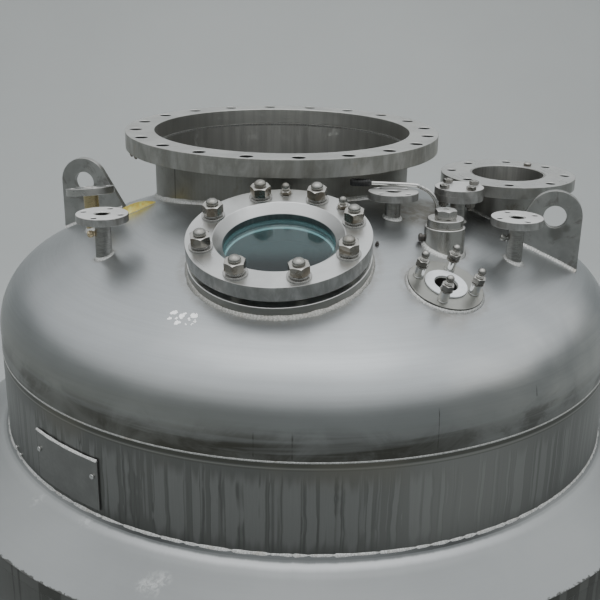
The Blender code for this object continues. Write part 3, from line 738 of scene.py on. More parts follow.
def steel(name, base, rough, lay_scale, lay_bump=0.0002, lay="rings", blotch=(0.9, 1.08),
          stain=None, stain_level=(0.56, 0.72), rim_shade=None, holes=None, crown=None, metallic=1.0,
          lining_light_and_shade=None, flank_shade=None, spots=(), lines=None):
    """Worked stainless steel with tool marks, mottling, stains and zones of their own tone, several
    of which paint light and shade: darker outer sides and bevel flanks, lit and shaded bore walls,
    dark bolt holes and lighter upward faces.
    """
    spread = 0.09
    f = Finish(name, base, rough, metallic)
    r, ux, _ = f.polar()
    if lay == "rings":
        marks = f.around(1.3, lay_scale, 4.0, 0.6, height=f.plus(r, f.z))
    elif lay == "upright":
        marks = f.around(lay_scale, 4.0, 4.0, 0.6)
    else:
        marks = f.noise(f.vector(f.times(f.x, 12.0), f.times(f.y, lay_scale),
                                 f.times(f.z, lay_scale)), 1.0, 4.0, 0.6)
    cloud = f.noise(f.spot, 9.0, 5.0, 0.6, 0.4)
    f.colour = f.mix(f.step(cloud, 0.32, 0.68), *(shade(base, item) for item in blotch))
    if lines:
        f.paint(f.step(marks, 0.34, 0.66), shade(base, 0.4), lines)
    else:
        f.paint(marks, shade(base, 0.7), 0.22)
    f.roughness = f.plus(f.scale(marks, rough - spread, rough + spread),
                         f.scale(cloud, -0.05, 0.05))
    # painted shade: the outer side of a flange or ring darker than its face, mottled, with more
    # roughness
    if rim_shade:
        radius, tone, amount = rim_shade
        mottle = f.noise(f.vector(f.x, f.y, f.times(f.z, 0.4)), 34.0, 5.0, 0.65, 0.5)
        outer = f.step(r, radius - 0.0012, radius - 0.0004)
        side = f.times(outer, f.scale(f.step(mottle, 0.3, 0.65), 0.45, 1.0))
        f.paint(side, tone, amount)
        f.roughen(side, 0.08)
        if metallic < 1:
            f.put(f.shader.inputs["Metallic"], f.scale(outer, metallic, 1.0))
    # painted shade: the bevel darker towards its left and right ends
    if flank_shade:
        radius, tone = flank_shade
        turned_part = f.step(r, radius + 0.001, radius - 0.001)
        f.paint(f.times(turned_part, f.step(f.size(ux), 0.45, 0.98)), tone, 0.6)
    for point, radius, tone in spots:
        away = f.plus(f.distance(point), f.scale(cloud, -0.012, 0.012))
        f.paint(f.step(away, radius, radius * 0.4), tone, 0.75)
    if stain:
        mask = f.step(f.noise(f.spot, 26.0, 6.0, 0.68, 0.6), *stain_level)
        f.paint(mask, stain, 0.75)
        f.roughen(mask, 0.16)
    # a bore's inner wall with upright streaks, in a tone of its own that paints light and shade:
    # lighter than the steel round it in the necks and the manhole flange, dark teal in the sight
    # glass's bores; painted shade darkens it more at its left and right
    if lining_light_and_shade:
        radius, tone, dim, seam = lining_light_and_shade
        streaks = f.step(f.around(13.0, 2.4, 4.0, 0.6), 0.34, 0.66)
        wall = f.mix(streaks, shade(tone, dim), tone)
        flank = f.step(f.size(ux), 0.35, 0.95)
        wall = f.mix(f.scale(flank, 0.0, 0.70), wall, shade(tone, 0.35))
        # a dark line at a given height; on the manhole neck it lies on the ledge under the flange,
        # as painted shade there
        line = f.step(f.size(f.minus(f.z, seam)), 0.0034, 0.0008)
        wall = f.mix(f.scale(line, 0.0, 0.55), wall, shade(tone, 0.25))
        f.paint(f.step(r, radius + 0.0002, radius - 0.0002), wall)
    # painted shade inside the bolt holes
    if holes:
        inner, outer, depth = holes
        inside = f.times(f.step(r, inner, inner + 0.002), f.step(r, outer, outer - 0.002),
                         f.step(f.z, -0.0006, -0.0020), f.step(f.z, -depth, 0.002 - depth))
        f.paint(inside, (0.08, 0.08, 0.075), 0.85)
    # painted highlight: faces that look upward are made lighter
    if crown:
        upward = f.split(f.node("TexCoord").outputs["Normal"])[2]
        f.paint(f.step(upward, 0.15, 0.60), crown, 0.75)
    f.bump(marks, 0.5, lay_bump)
    f.bump(f.noise(f.spot, 900.0, 2.0, 0.5), 0.25, 0.00012)
    return f.done()


def head_finish():
    """Satin head: brushing round the axis, dull halos at the welds, smudges above the weld, painted
    highlights on the knuckle and painted dark reflection low on it.
    """
    base = (0.54, 0.56, 0.572)
    f = Finish("head_steel_satin", base, 0.32)
    r, ux, uy = f.polar()
    length = f.minus(r, f.z)
    brushed = f.around(2.2, 150.0, 5.0, 0.65, height=length)
    bands = f.around(1.2, 22.0, 3.0, 0.5, height=length)
    cloud = f.noise(f.spot, 3.4, 4.0, 0.55, 0.5)
    fine = f.noise(f.spot, 60.0, 4.0, 0.6)
    f.colour = f.mix(f.step(cloud, 0.3, 0.7), shade(base, 0.93), shade(base, 1.05))
    f.paint(f.step(brushed, 0.30, 0.72), (0.36, 0.37, 0.37), 0.17)
    f.paint(f.step(bands, 0.4, 0.75), (0.68, 0.70, 0.71), 0.20)
    f.roughness = f.plus(f.scale(brushed, 0.27, 0.39), f.scale(cloud, -0.04, 0.05))
    # dull and slightly brown zones next to the welds of what stands on the head
    halos = [(SIGHT_XY, SIGHT_OD / 2, 0.022), (PAD_XY, PAD_OD / 2, 0.020),
             (BOSS_XY, BOSS_R, 0.018), (MANHOLE["xy"], MANHOLE["neck"] / 2, 0.026),
             (SIDE["xy"], SIDE["neck"] / 2, 0.020)]
    halos += [(nozzle[0][:2], SMALL["neck"] / 2, 0.012) for nozzle in SMALL_NOZZLES.values()]
    for (x, y), radius, width in halos:
        away = f.size(f.minus(f.distance(dome_point(x, y)), radius + width * 0.35))
        ring = f.times(f.step(away, width, width * 0.15), f.step(fine, 0.30, 0.62))
        f.paint(ring, (0.36, 0.33, 0.29), 0.34)
        f.roughen(ring, 0.10)
    # brown stains, and grey patches of painted shade in front of the side nozzle
    for x, y, radius, amount, tone in HEAD_STAINS_AND_SHADE:
        away = f.plus(f.distance(dome_point(x, y)), f.scale(fine, -0.03, 0.03))
        mask = f.times(f.step(away, radius, radius * 0.35),
                       f.scale(f.step(fine, 0.36, 0.60), 0.62, 1.0))
        f.paint(mask, tone, amount)
        f.roughen(mask, 0.10)
    # bright patches of painted highlight on the knuckle, broken up by the cloud noise
    for x, y, z, radius in HEAD_HIGHLIGHTS:
        away = f.plus(f.distance(above_weld(x, y, z)), f.scale(bands, -0.05, 0.05))
        mask = f.times(f.step(away, radius, radius * 0.3),
                       f.scale(f.step(cloud, 0.40, 0.62), 0.35, 1.0))
        f.paint(mask, (0.86, 0.86, 0.84), 0.62)
    height = f.minus(f.z, HEAD_WELD_Z)
    for azimuth, bottom, top, half_width in HEAD_DRIPS:
        turn = radians(azimuth)
        across = f.plus(f.times(ux, -sin(turn)), f.times(uy, cos(turn)))
        facing = f.plus(f.times(ux, cos(turn)), f.times(uy, sin(turn)))
        wavy = f.plus(across, f.scale(f.noise(f.spot, 30.0, 2.0), -0.0016, 0.0016))
        mask = f.times(f.step(f.size(wavy), half_width, half_width * 0.3),
                       f.step(facing, 0.8, 0.9), f.step(height, top + 0.012, top - 0.004),
                       f.step(height, bottom - 0.002, bottom + 0.002))
        f.paint(mask, (0.10, 0.10, 0.10), 0.8)
    # painted dark reflection low on the knuckle, mottled like dirt, stronger to the left than to the
    # right, with a warm tint over it
    smudge = f.around(5.0, 11.0, 5.0, 0.65, 0.5)
    low = f.times(f.step(height, 0.085, 0.012), f.step(smudge, 0.47, 0.62))
    f.paint(low, (0.13, 0.128, 0.12), 0.70)
    streaky = f.plus(height, f.scale(bands, -0.012, 0.012))
    f.paint(f.step(streaky, 0.125, 0.0), (0.20, 0.205, 0.20), 0.42)
    lowest = f.times(f.step(streaky, 0.074, 0.022),
                     f.scale(f.step(ux, 0.25, 0.55), 0.94, 0.45),
                     f.scale(f.step(ux, -0.20, -0.60), 1.0, 0.66),
                     f.scale(f.step(smudge, 0.36, 0.56), 0.70, 1.0))
    f.paint(lowest, (0.098, 0.096, 0.085))
    warm = f.times(f.step(streaky, 0.15, 0.06), f.scale(f.step(ux, 0.10, -0.45), 0.25, 0.60))
    f.paint(warm, (0.92, 0.88, 0.78), blend="MULTIPLY")
    layers = f.around(1.6, 46.0, 3.0, 0.6, 0.3, height=length)
    layers = f.times(f.step(layers, 0.46, 0.64), f.step(height, 0.150, 0.090))
    f.paint(layers, (0.46, 0.47, 0.47), 0.30)
    f.bump(brushed, 0.35, 0.00016)
    f.bump(cloud, 0.30, 0.004)
    f.bump(f.noise(f.spot, 1100.0, 2.0, 0.5), 0.2, 0.0001)
    return f.done()


def run_finish(name, dark, light, top, bottom, waves=44.0, fade=0.016, tall=0.7, sparse=0.0):
    """Dull rolled steel with upright light and dark run marks between two heights."""
    rough = 0.40
    level = (0.47, 0.52)
    f = Finish(name, dark, rough)
    _, ux, uy = f.polar()
    sway = f.scale(f.around(7.0, 13.0, 2.0), -0.006, 0.006)
    f.ux, f.uy = (f.plus(item, sway) for item in (ux, uy))
    area = f.around(1.7, 0.6, 2.0)
    wide = f.around(waves, tall, 1.5, 0.45, 0.12)
    narrow = f.around(waves * 2.2, tall * 1.5, 2.0, 0.5, 0.12)
    fewer = f.scale(f.step(f.ux, 0.10, 0.42), 0.0, sparse)
    wide, narrow = (f.minus(item, fewer) for item in (wide, narrow))
    hair = f.around(waves * 8, 5.0, 3.0)
    wide = f.plus(wide, f.scale(area, -0.05, 0.05))
    thin = f.times(f.step(narrow, level[0] + 0.06, level[1] + 0.06), 0.75)
    height = f.plus(f.z, f.scale(wide, -0.045, 0.045))
    below_top = f.step(height, top + fade, top - fade)
    mask = f.times(f.math("MAXIMUM", f.step(wide, *level), thin), below_top,
                   f.step(height, bottom - fade, bottom + fade))
    ring = f.size(f.minus(wide, level[0] - 0.012))
    edge = f.times(f.step(ring, 0.034, 0.006), f.step(narrow, 0.30, 0.50), below_top)
    f.colour = f.mix(mask, dark, light)
    f.paint(edge, shade(dark, 0.62), 0.50)
    f.paint(hair, shade(dark, 0.75), 0.25)
    f.roughness = f.plus(f.scale(mask, rough - 0.03, rough + 0.06),
                         f.scale(hair, -0.04, 0.04))
    f.bump(hair, 0.35, 0.00014)
    f.bump(f.noise(f.spot, 5.0, 2.0), 0.25, 0.004)
    f.bump(f.noise(f.spot, 1000.0, 2.0), 0.2, 0.0001)
    f.ux, f.uy = ux, uy
    return f


def course_finish():
    """Course between the welds, with a dark band and scribed lines under the head weld."""
    f = run_finish("course_streaked", (0.222, 0.224, 0.214), (0.335, 0.337, 0.327),
                   HEAD_WELD_Z - 0.032, HEAD_WELD_Z - 0.164, sparse=0.05)
    # painted light: the course is lighter towards its right side, where more light falls
    lighter = f.times(f.step(f.ux, 0.05, 0.42), f.scale(f.step(f.ux, 0.48, 0.72), 0.40, 0.15))
    f.paint(lighter, (0.52, 0.52, 0.50))
    under = f.minus(f.z, HEAD_WELD_Z)
    # a dark band just under the head weld
    f.paint(f.step(under, -0.0104, -0.0084), (0.120, 0.120, 0.102), 0.80)
    for depth, half, core, tone, amount in (
            (0.0124, 0.0016, 0.0005, (0.40, 0.395, 0.36), 0.7),
            (0.0158, 0.0018, 0.0004, (0.15, 0.15, 0.13), 0.45)):
        f.paint(f.step(f.size(f.plus(under, depth)), half, core), tone, amount)
    warm = f.step(f.noise(f.spot, 4.0, 3.0), 0.45, 0.65)
    f.paint(f.times(f.step(under, -0.075, -0.015), warm), (0.30, 0.28, 0.23), 0.35)
    return f.done()


def shoulder_finish():
    """Smooth pale shoulder with scuffs; beside the weld painted dark and then bright as reflection,
    with painted light at the sides and painted shade in front.
    """
    base = (0.425, 0.437, 0.44)
    pale, dull = (0.56, 0.575, 0.57), (0.36, 0.37, 0.37)
    f = Finish("shoulder_satin", base, 0.46)
    r, ux, uy = f.polar()
    brushed = f.around(2.0, 260.0, 4.0, 0.6, height=r)
    cloud = f.noise(f.spot, 4.0, 4.0, 0.6, 0.3)
    fine = f.noise(f.vector(f.times(ux, 30.0), f.times(uy, 30.0), f.z), 1.0, 5.0, 0.7)
    f.colour = f.mix(f.step(cloud, 0.3, 0.7), shade(base, 0.93), shade(base, 1.06))
    smear = f.noise(f.spot, 80.0, 5.0, 0.7, 0.6)
    for x, y, size in SCUFFS:
        out = (hypot(x, y) - VESSEL_R) / (SHOULDER_EDGE_R - VESSEL_R)
        point = (x, y, JACKET_WELD_Z - SHOULDER_EDGE_DROP * out)
        mask = f.times(f.step(f.distance(point), size * 1.2, 0.0), f.step(smear, 0.44, 0.66))
        f.paint(mask, (0.86, 0.87, 0.86), 0.9)
    f.paint(fine, dull, 0.12)
    # beside the weld, from outside in, all painted: a bright band of painted reflection, strongest
    # in front; a band of painted dark reflection; a dark line of painted shade at the bead
    wavy = f.plus(r, f.scale(fine, -0.0025, 0.0025))
    painted_sheen = f.times(f.step(wavy, VESSEL_R + 0.0120, VESSEL_R + 0.0165),
                    f.step(wavy, VESSEL_R + 0.031, VESSEL_R + 0.019),
                    f.scale(f.step(uy, -0.70, -0.97), 0.12, 1.0))
    f.paint(painted_sheen, (0.70, 0.71, 0.72), 0.80)
    away = f.times(f.step(wavy, VESSEL_R + 0.0150, VESSEL_R + 0.0100),
                   f.scale(f.step(uy, -0.55, -0.90), 0.55, 1.0))
    f.paint(away, (0.15, 0.16, 0.16), 0.80)
    crease_shade = f.step(f.plus(r, f.scale(fine, -0.0012, 0.0012)), VESSEL_R + 0.0088,
                    VESSEL_R + 0.0062)
    f.paint(f.times(crease_shade, f.scale(f.step(f.size(ux), 0.12, 0.50), 0.30, 0.92)),
            (0.040, 0.042, 0.042))
    # painted shade: the shoulder darker in front
    front = f.times(f.step(uy, -0.80, -1.0), f.step(wavy, VESSEL_R + 0.030, VESSEL_R + 0.045))
    f.paint(front, (0.28, 0.29, 0.29), 0.48)
    # painted light: the shoulder lighter towards both sides
    for side in (-1, 1):
        f.paint(f.step(ux, side * 0.35, side * 0.75), pale, 0.5)
    # the upright skirt, with dirt along its upper edge
    streaks = f.plus(f.around(34.0, 0.8, 1.5, 0.45, 0.12),
                     f.scale(f.around(1.7, 0.6, 2.0), -0.05, 0.05))
    wall = f.mix(f.step(streaks, 0.47, 0.52), *JACKET_TONES)
    dirt = f.plus(r, f.scale(f.step(smear, 0.35, 0.65), -0.0010, 0.0030))
    f.paint(f.times(f.step(dirt, JACKET_R - 0.0024, JACKET_R - 0.0006), 0.85),
            (0.11, 0.11, 0.10))
    f.paint(f.step(r, JACKET_R - 0.0010, JACKET_R - 0.0005), wall)
    f.roughness = f.plus(f.scale(brushed, 0.42, 0.52), f.scale(cloud, -0.03, 0.04))
    f.roughness = f.minus(f.roughness, f.scale(painted_sheen, 0.0, 0.08))
    f.bump(brushed, 0.3, 0.00014)
    f.bump(cloud, 0.25, 0.004)
    f.bump(f.noise(f.spot, 1000.0, 2.0), 0.2, 0.0001)
    return f.done()


def jacket_finish():
    """Jacket wall: run marks that fade downward into plain rolled sheet."""
    f = run_finish("jacket_streaked", *JACKET_TONES, 2.20, 0.84, 34.0, fade=0.03, tall=0.8)
    sheet = f.plus(f.times(f.around(24.0, 0.7, 4.0, 0.6), 0.5),
                   f.times(f.noise(f.spot, 3.0, 4.0, 0.6), 0.5))
    sheet = f.mix(f.step(sheet, 0.38, 0.62), (0.27, 0.27, 0.26), (0.36, 0.36, 0.35))
    f.paint(f.step(f.z, 2.10, 1.85), sheet, 0.90)
    return f.done()


def weld_finish(name, dark, light, metallic):
    """Weld metal with ripples and faint heat colours."""
    f = Finish(name, light, 0.42, metallic)
    lumps = f.noise(f.spot, 320.0, 4.0, 0.65)
    patch = f.noise(f.spot, 30.0, 3.0, 0.6)
    f.colour = f.mix(f.step(lumps, 0.35, 0.65), dark, light)
    f.paint(f.step(patch, 0.56, 0.72), (0.44, 0.37, 0.27), 0.35)
    f.roughness = f.scale(lumps, 0.34, 0.55)
    f.bump(lumps, 0.6, 0.0005)
    return f.done()


def plain_finish(name, dark, light, rough, scale=60.0, glow=0.0):
    """Mottled material that isn't bare steel; a glow above 0 paints light into it, as if it shone of
    itself.
    """
    f = Finish(name, light, rough[0], 0.0)
    cloud = f.noise(f.spot, scale, 5.0, 0.65, 0.2)
    f.colour = f.mix(f.step(cloud, 0.34, 0.66), dark, light)
    f.roughness = f.scale(cloud, *rough)
    # the glow is painted light
    f.fix("Emission Color", (*light, 1))
    f.fix("Emission Strength", glow)
    f.bump(f.noise(f.spot, scale * 12, 3.0, 0.6), 0.4, 0.0003)
    return f.done()


def glass_finish():
    """Thick blue-green sight glass with faint wipe marks, and painted shade over its front part."""
    f = Finish("sight_glass_teal", (0.30, 0.62, 0.64), 0.04, 0.0)
    r, _, _ = f.polar()
    f.fix("Transmission Weight", 0.90)
    f.fix("IOR", 1.5)
    f.colour = f.mix(f.step(r, 0.098, 0.109), (0.26, 0.43, 0.45), (0.36, 0.60, 0.62))
    # painted shade: the glass darker over its front part
    f.paint(f.step(f.y, 0.01, -0.065), (0.02, 0.06, 0.068), 0.98)
    f.roughness = f.scale(f.noise(f.spot, 14.0, 5.0, 0.7, 1.5), 0.02, 0.07)
    return f.done()


def stage_finish():
    """Matt pale floor."""
    f = Finish("studio_pale", (0.50, 0.52, 0.515), 0.9, 0.0)
    f.fix("Specular IOR Level", 0.1)
    mottle = f.noise(f.spot, 0.7, 4.0, 0.6)
    f.colour = f.mix(mottle, (0.345, 0.36, 0.357), (0.385, 0.40, 0.397))
    return f.done()


def head_profile(radius, shrink, straight, steps, end):
    """Meridian of a dished head from its open end to a radius, pole up, tangent at 0."""
    crown, knuckle = 2.0 * radius, 0.2 * radius
    centre = -sqrt((crown - knuckle) ** 2 - (radius - knuckle) ** 2)
    turn = asin((radius - knuckle) / (crown - knuckle))
    knuckle_steps, crown_steps = steps
    points = [(radius - shrink, -straight)]
    reach = knuckle - shrink
    for step in range(knuckle_steps):
        angle = pi / 2 - (pi / 2 - turn) * step / knuckle_steps
        points.append((radius - knuckle + reach * sin(angle), reach * cos(angle)))
    reach = crown - shrink
    last = asin(end / reach)
    for step in range(crown_steps + 1):
        angle = turn + (last - turn) * step / crown_steps
        points.append((reach * sin(angle), centre + reach * cos(angle)))
    return points


def head_shell(radius, wall, straight, tangent, up, end, segments=256):
    """Closed shell of one dished head."""
    outside = head_profile(radius, 0.0, straight, (22, 34), end)
    inside = head_profile(radius, wall, straight, (8, 14), end)
    data = bmesh.new()
    lathe(data, [(r, tangent + up * z) for r, z in outside + inside[::-1]], segments)
    return data


def head_normals(item):
    """Exact smooth normals on both skins of the top head, flat ones in its openings."""
    mesh = item.data
    normals = []
    for face in mesh.polygons:
        for corner in face.vertices:
            true = dome_normal(mesh.vertices[corner].co)
            fit = true.dot(face.normal)
            if abs(fit) > 0.93:
                normals.append(true if fit > 0 else -true)
            else:
                normals.append(face.normal.copy())
    mesh.normals_split_custom_set(normals)


def build_vessel():
    """Top head with its openings, course, shell, bottom head and the welds between them."""
    deep, middle, shallow = (0, 0.5), (-0.25, 0.25), (-0.1, 0.1)
    openings = [(frame_at(above_weld(*centre), UP), radius, deep, count)
                for centre, radius, count in ((MANHOLE["xy"], MANHOLE["neck"] / 2, 128),
                                              (SIDE["xy"], SIDE["neck"] / 2, 64),
                                              (BOSS_XY, BOSS_R, 48))]
    openings += [(frame_at(above_weld(*face), axis), SMALL["neck"] / 2, middle, 32)
                 for face, axis, _, _ in SMALL_NOZZLES.values()]
    openings += [(dome_frame(*SIGHT_XY), SIGHT_OD / 2, shallow, 96),
                 (dome_frame(*PAD_XY), PAD_OD / 2, shallow, 64)]
    drills = bmesh.new()
    for place, radius, span, count in openings:
        lathe(drills, box(0, radius + GAP, *span), count, place)
    shell = head_shell(VESSEL_R, VESSEL_WALL, STRAIGHT - GAP, HEAD_WELD_Z + STRAIGHT, 1, HEAD_POLE_R)
    head = show("head_shell", cut(shell, drills), "head", stands_for="top_head", weighted=False)
    head_normals(head)
    for name, look, low, high, node in (
            ("course_ring", "course", JACKET_WELD_Z, HEAD_WELD_Z, "upper_course"),
            ("inner_shell", "inner", INNER_TANGENT_Z + STRAIGHT, JACKET_WELD_Z - GAP,
             "vessel_shell")):
        turned(name, look, box(VESSEL_R - VESSEL_WALL, VESSEL_R, low, high), 256, stands_for=node)
    data = head_shell(VESSEL_R, VESSEL_WALL, STRAIGHT - GAP, INNER_TANGENT_Z, -1,
                      OUTLET_PIPE_R + GAP, 192)
    show("inner_bottom", data, "inner", stands_for="vessel_bottom_head")
    path = ring_path(VESSEL_R, HEAD_WELD_Z + 0.0002, (0, 1), (0.55, 0), 1400)
    welded("head_weld", path, 0.0018, span=180, pitch=0.0035, ripple=0.08, wander=0.06)
    slope = atan2(SHOULDER_EDGE_DROP, SHOULDER_EDGE_R - VESSEL_R)
    path = ring_path(VESSEL_R, JACKET_WELD_Z - 0.0022, (0, 1), (cos(slope), -sin(slope)), 2200)
    welded("jacket_weld", path, 0.0033, "weld_light", pitch=0.004, ripple=0.14, wander=0.42,
           chunks=(0.024, 0.085))


def build_jacket():
    """Shoulder, shell and bottom head of the jacket with their welds."""
    low, skirt = JACKET_BOTTOM_Z, JACKET_WELD_Z - SHOULDER_SKIRT_DROP
    inner, thick = JACKET_R - JACKET_WALL, JACKET_WALL * 1.17
    # radius and drop below the jacket weld: outside, then inside
    drops = [(VESSEL_R + GAP, 0.0015), (0.7060, 0.0068), (0.7160, 0.0105)]
    drops += [(0.7300 + 0.1045 * k / 8, 0.0190 + 0.0640 * k / 8) for k in range(9)]
    drops += [(0.8353, 0.0838), (0.8358, 0.0846), (JACKET_R, 0.0860),
              (JACKET_R, SHOULDER_SKIRT_DROP - GAP), (inner, SHOULDER_SKIRT_DROP - GAP),
              (inner, SHOULDER_EDGE_DROP + 0.020),
              (SHOULDER_EDGE_R - 0.003, SHOULDER_EDGE_DROP + thick), (VESSEL_R + GAP, thick)]
    outline = [(r, JACKET_WELD_Z - drop) for r, drop in drops]
    turned("shoulder_ring", "shoulder", outline, 320, stands_for="jacket_shoulder")
    outline = box(inner, JACKET_R, low, skirt - GAP)
    turned("jacket_wall", "jacket", outline, 320, stands_for="jacket_shell")
    data = head_shell(JACKET_R, JACKET_WALL, JACKET_STRAIGHT - GAP, low - JACKET_STRAIGHT, -1,
                      OUTLET_PIPE_R + GAP)
    show("jacket_bottom", data, "jacket_low", stands_for="jacket_bottom_head")
    path = ring_path(JACKET_R - 0.0005, skirt, (0, 1), (0.30, 0), 900)
    welded("skirt_seam", path, 0.0010, "jacket_low", span=180, ripple=0.08)
    seam = {"span": 180, "pitch": 0.004, "ripple": 0.08, "wander": 0.08}
    radius = JACKET_R - 0.0012
    out, side = outward(JACKET_SEAM_AZIMUTH), outward(JACKET_SEAM_AZIMUTH + 90)
    data = bmesh.new()
    bead(data, ring_path(radius, low, (0, 1), (0.30, 0), 1500), 0.0040, **seam)
    path = upright_path(out * radius, low, skirt, 700, side, out * 0.30)
    bead(data, path, 0.0040, closed=False, **seam)
    show("jacket_seams", data, "weld_beige", weighted=False)


def contour_tube(size, segments):
    """Pipe below a flange's face, whose lower end follows the inside of the top head."""
    data = bmesh.new()
    x, y = size["xy"]
    rings = []
    for inset, upper in ((size["wall"], False), (0.0, False), (0.0, True), (size["wall"], True)):
        ring = []
        for step in range(segments):
            spot = polar(size["neck"] / 2 - inset, 2 * pi * step / segments, -size["short"])
            if not upper:
                spot.z = dome_height(hypot(x + spot.x, y + spot.y)) - NECK_DEPTH - size["top"]
            ring.append(data.verts.new(spot))
        rings.append(ring)
    skin(data, rings)
    return data


def flange_piece(name, look, size, segments, place, node, ease=0.0014):
    """Drilled flat flange with eased edges, face at local z = 0."""
    data = bmesh.new()
    outline = box(size["neck"] / 2 + GAP, size["od"] / 2, 0, -size["t"])
    lathe(data, outline, segments, ease=ease)
    drills = hole_cutters(size["pcd"], size["holes"], size["phase"], size["hole"], 0.0,
                          -size["t"])
    show(name, cut(data, drills), look, place, node)


def build_large_nozzles():
    """Manhole and side nozzle with necks, flanges, welds and a few hardened drips."""
    welds = bmesh.new()
    for name, size, segments, neck, flange, width in (
            ("manhole", MANHOLE, 192, "neck", "flange", 0.006),
            ("side_nozzle", SIDE, 128, "neck_side", "flange_side", 0.0045)):
        place = frame_at(above_weld(*size["xy"], size["top"]), UP)
        show(name + "_pipe", contour_tube(size, segments), neck, place, name + "_neck")
        flange_piece(name + "_plate_ring", flange, size, segments, place, name + "_flange")
        r = size["neck"] / 2
        bead(welds, ring_path(r, -size["t"], (0, -1), (1, 0), 420, place), width)
        bead(welds, dome_ring_path(place, r, 620), width * 1.25, ripple=0.18, wander=0.22)
    out, side = outward(MANHOLE_SEAM_AZIMUTH), outward(MANHOLE_SEAM_AZIMUTH + 90)
    under = above_weld(*MANHOLE["xy"], MANHOLE["top"] - MANHOLE["t"])
    foot = slide_to_dome(under + out * (MANHOLE["neck"] / 2), UP)
    path = upright_path(foot, 0, under.z - foot.z, 60, side, out * 0.35)
    welded("large_nozzle_seams", path, 0.0016, "dark", "neck_steel", span=180, closed=False)
    show("large_nozzle_welds", welds, "weld", weighted=False)
    data = bmesh.new()
    dice = random.Random(8)
    for azimuth in DRIP_AZIMUTHS:
        reach = MANHOLE["od"] / 2 - dice.uniform(0.004, 0.007)
        size = dice.uniform(0.0030, 0.0046)
        outline = [(0, -0.001), (size * 1.2, -0.001), (size, size * 0.5),
                   (size * 0.6, size * 1.2), (0, size * dice.uniform(1.5, 2.1))]
        lathe(data, outline, 14, frame_at(under + outward(azimuth) * reach, -UP))
    show("manhole_drips", data, "drip")
    data = bmesh.new()
    outline = [(0, 0.0002), (0.0095, 0.0002), (0.0095, 0.0045), (0.0068, 0.0078), (0, 0.0088)]
    lathe(data, outline, 28, frame_at(above_weld(*SIDE_PLUG_XY, SIDE["top"]), UP), 0.0012)
    show("side_nozzle_plug", data, "nut_dark")


def build_small_nozzles():
    """Five small nozzles, the blind cover and its bolts, and the taps on two necks."""
    welds = bmesh.new()
    r, wall, pitch = SMALL["neck"] / 2, SMALL["wall"], SMALL["pcd"]
    for name, (face, axis, phase, thickness) in SMALL_NOZZLES.items():
        place = frame_at(above_weld(*face), axis)
        foot = slide_to_dome(place.translation, Vector(axis).normalized())
        low = -(foot - place.translation).length - NECK_DEPTH
        pipe, ring = (("neck_warm", "flange_tilted") if name == "rear_left"
                      else ("small_neck", "flange_small"))
        turned(name + "_pipe", pipe, box(r - wall, r, low, -0.002), 48, place,
               name + "_nozzle_neck", 0.0005)
        flange_piece(name + "_ring", ring, dict(SMALL, t=thickness, phase=phase), 80, place,
                     name + "_nozzle_flange", 0.0004 if name == "capped" else 0.0014)
        bead(welds, dome_ring_path(place, r, 110), 0.0052, pitch=0.005, ripple=0.2, wander=0.3)
        bead(welds, ring_path(r, -thickness, (0, -1), (1, 0), 90, place), 0.0030, pitch=0.004)
        path = ring_path(r - wall * 0.4, -0.0022, (0, 1), (-1, 0), 90, place)
        bead(welds, path, 0.0018, pitch=0.004)
    show("small_nozzle_welds", welds, "weld", weighted=False)
    face, axis, phase, thickness = SMALL_NOZZLES["capped"]
    place = frame_at(above_weld(*face), axis)
    data = bmesh.new()
    top = GAP + BLIND_T
    lathe(data, box(0, SMALL["od"] / 2, GAP, top), 80, ease=0.0005)
    drills = hole_cutters(pitch, 4, phase, SMALL["hole"], top, GAP)
    show("blind_disc", cut(data, drills), "flange_small", place, "blind_cover")
    data = bmesh.new()
    top += 0.0003
    for index in range(4):
        spot = ring_place(pitch, 4, phase, index) @ Matrix.Rotation(0.4 * index, 4, "Z")
        hex_nut(data, spot, 0.0190, top, top + 0.0085, 0.001)
        threaded(data, spot, 0.0060, -thickness - 0.018, top + 0.0105, 0.00175)
        hex_nut(data, spot, 0.0190, -thickness - 0.0105, -thickness - 0.0003, 0.0059)
    show("blind_bolts", data, "nut_dark", place, angle=28)
    outline = [(0, 0), (0.0050, 0), (0.0050, 0.0050), (0.0072, 0.0062), (0.0078, 0.0125),
               (0.0045, 0.0165), (0, 0.0172)]
    for name, (azimuth, height, look) in TAPS.items():
        out = outward(azimuth)
        foot = above_weld(*SMALL_NOZZLES[name][0]) + UP * height + out * (r - 0.001)
        turned(name + "_tap", look, outline, 32, frame_at(foot, out), ease=0.0012)


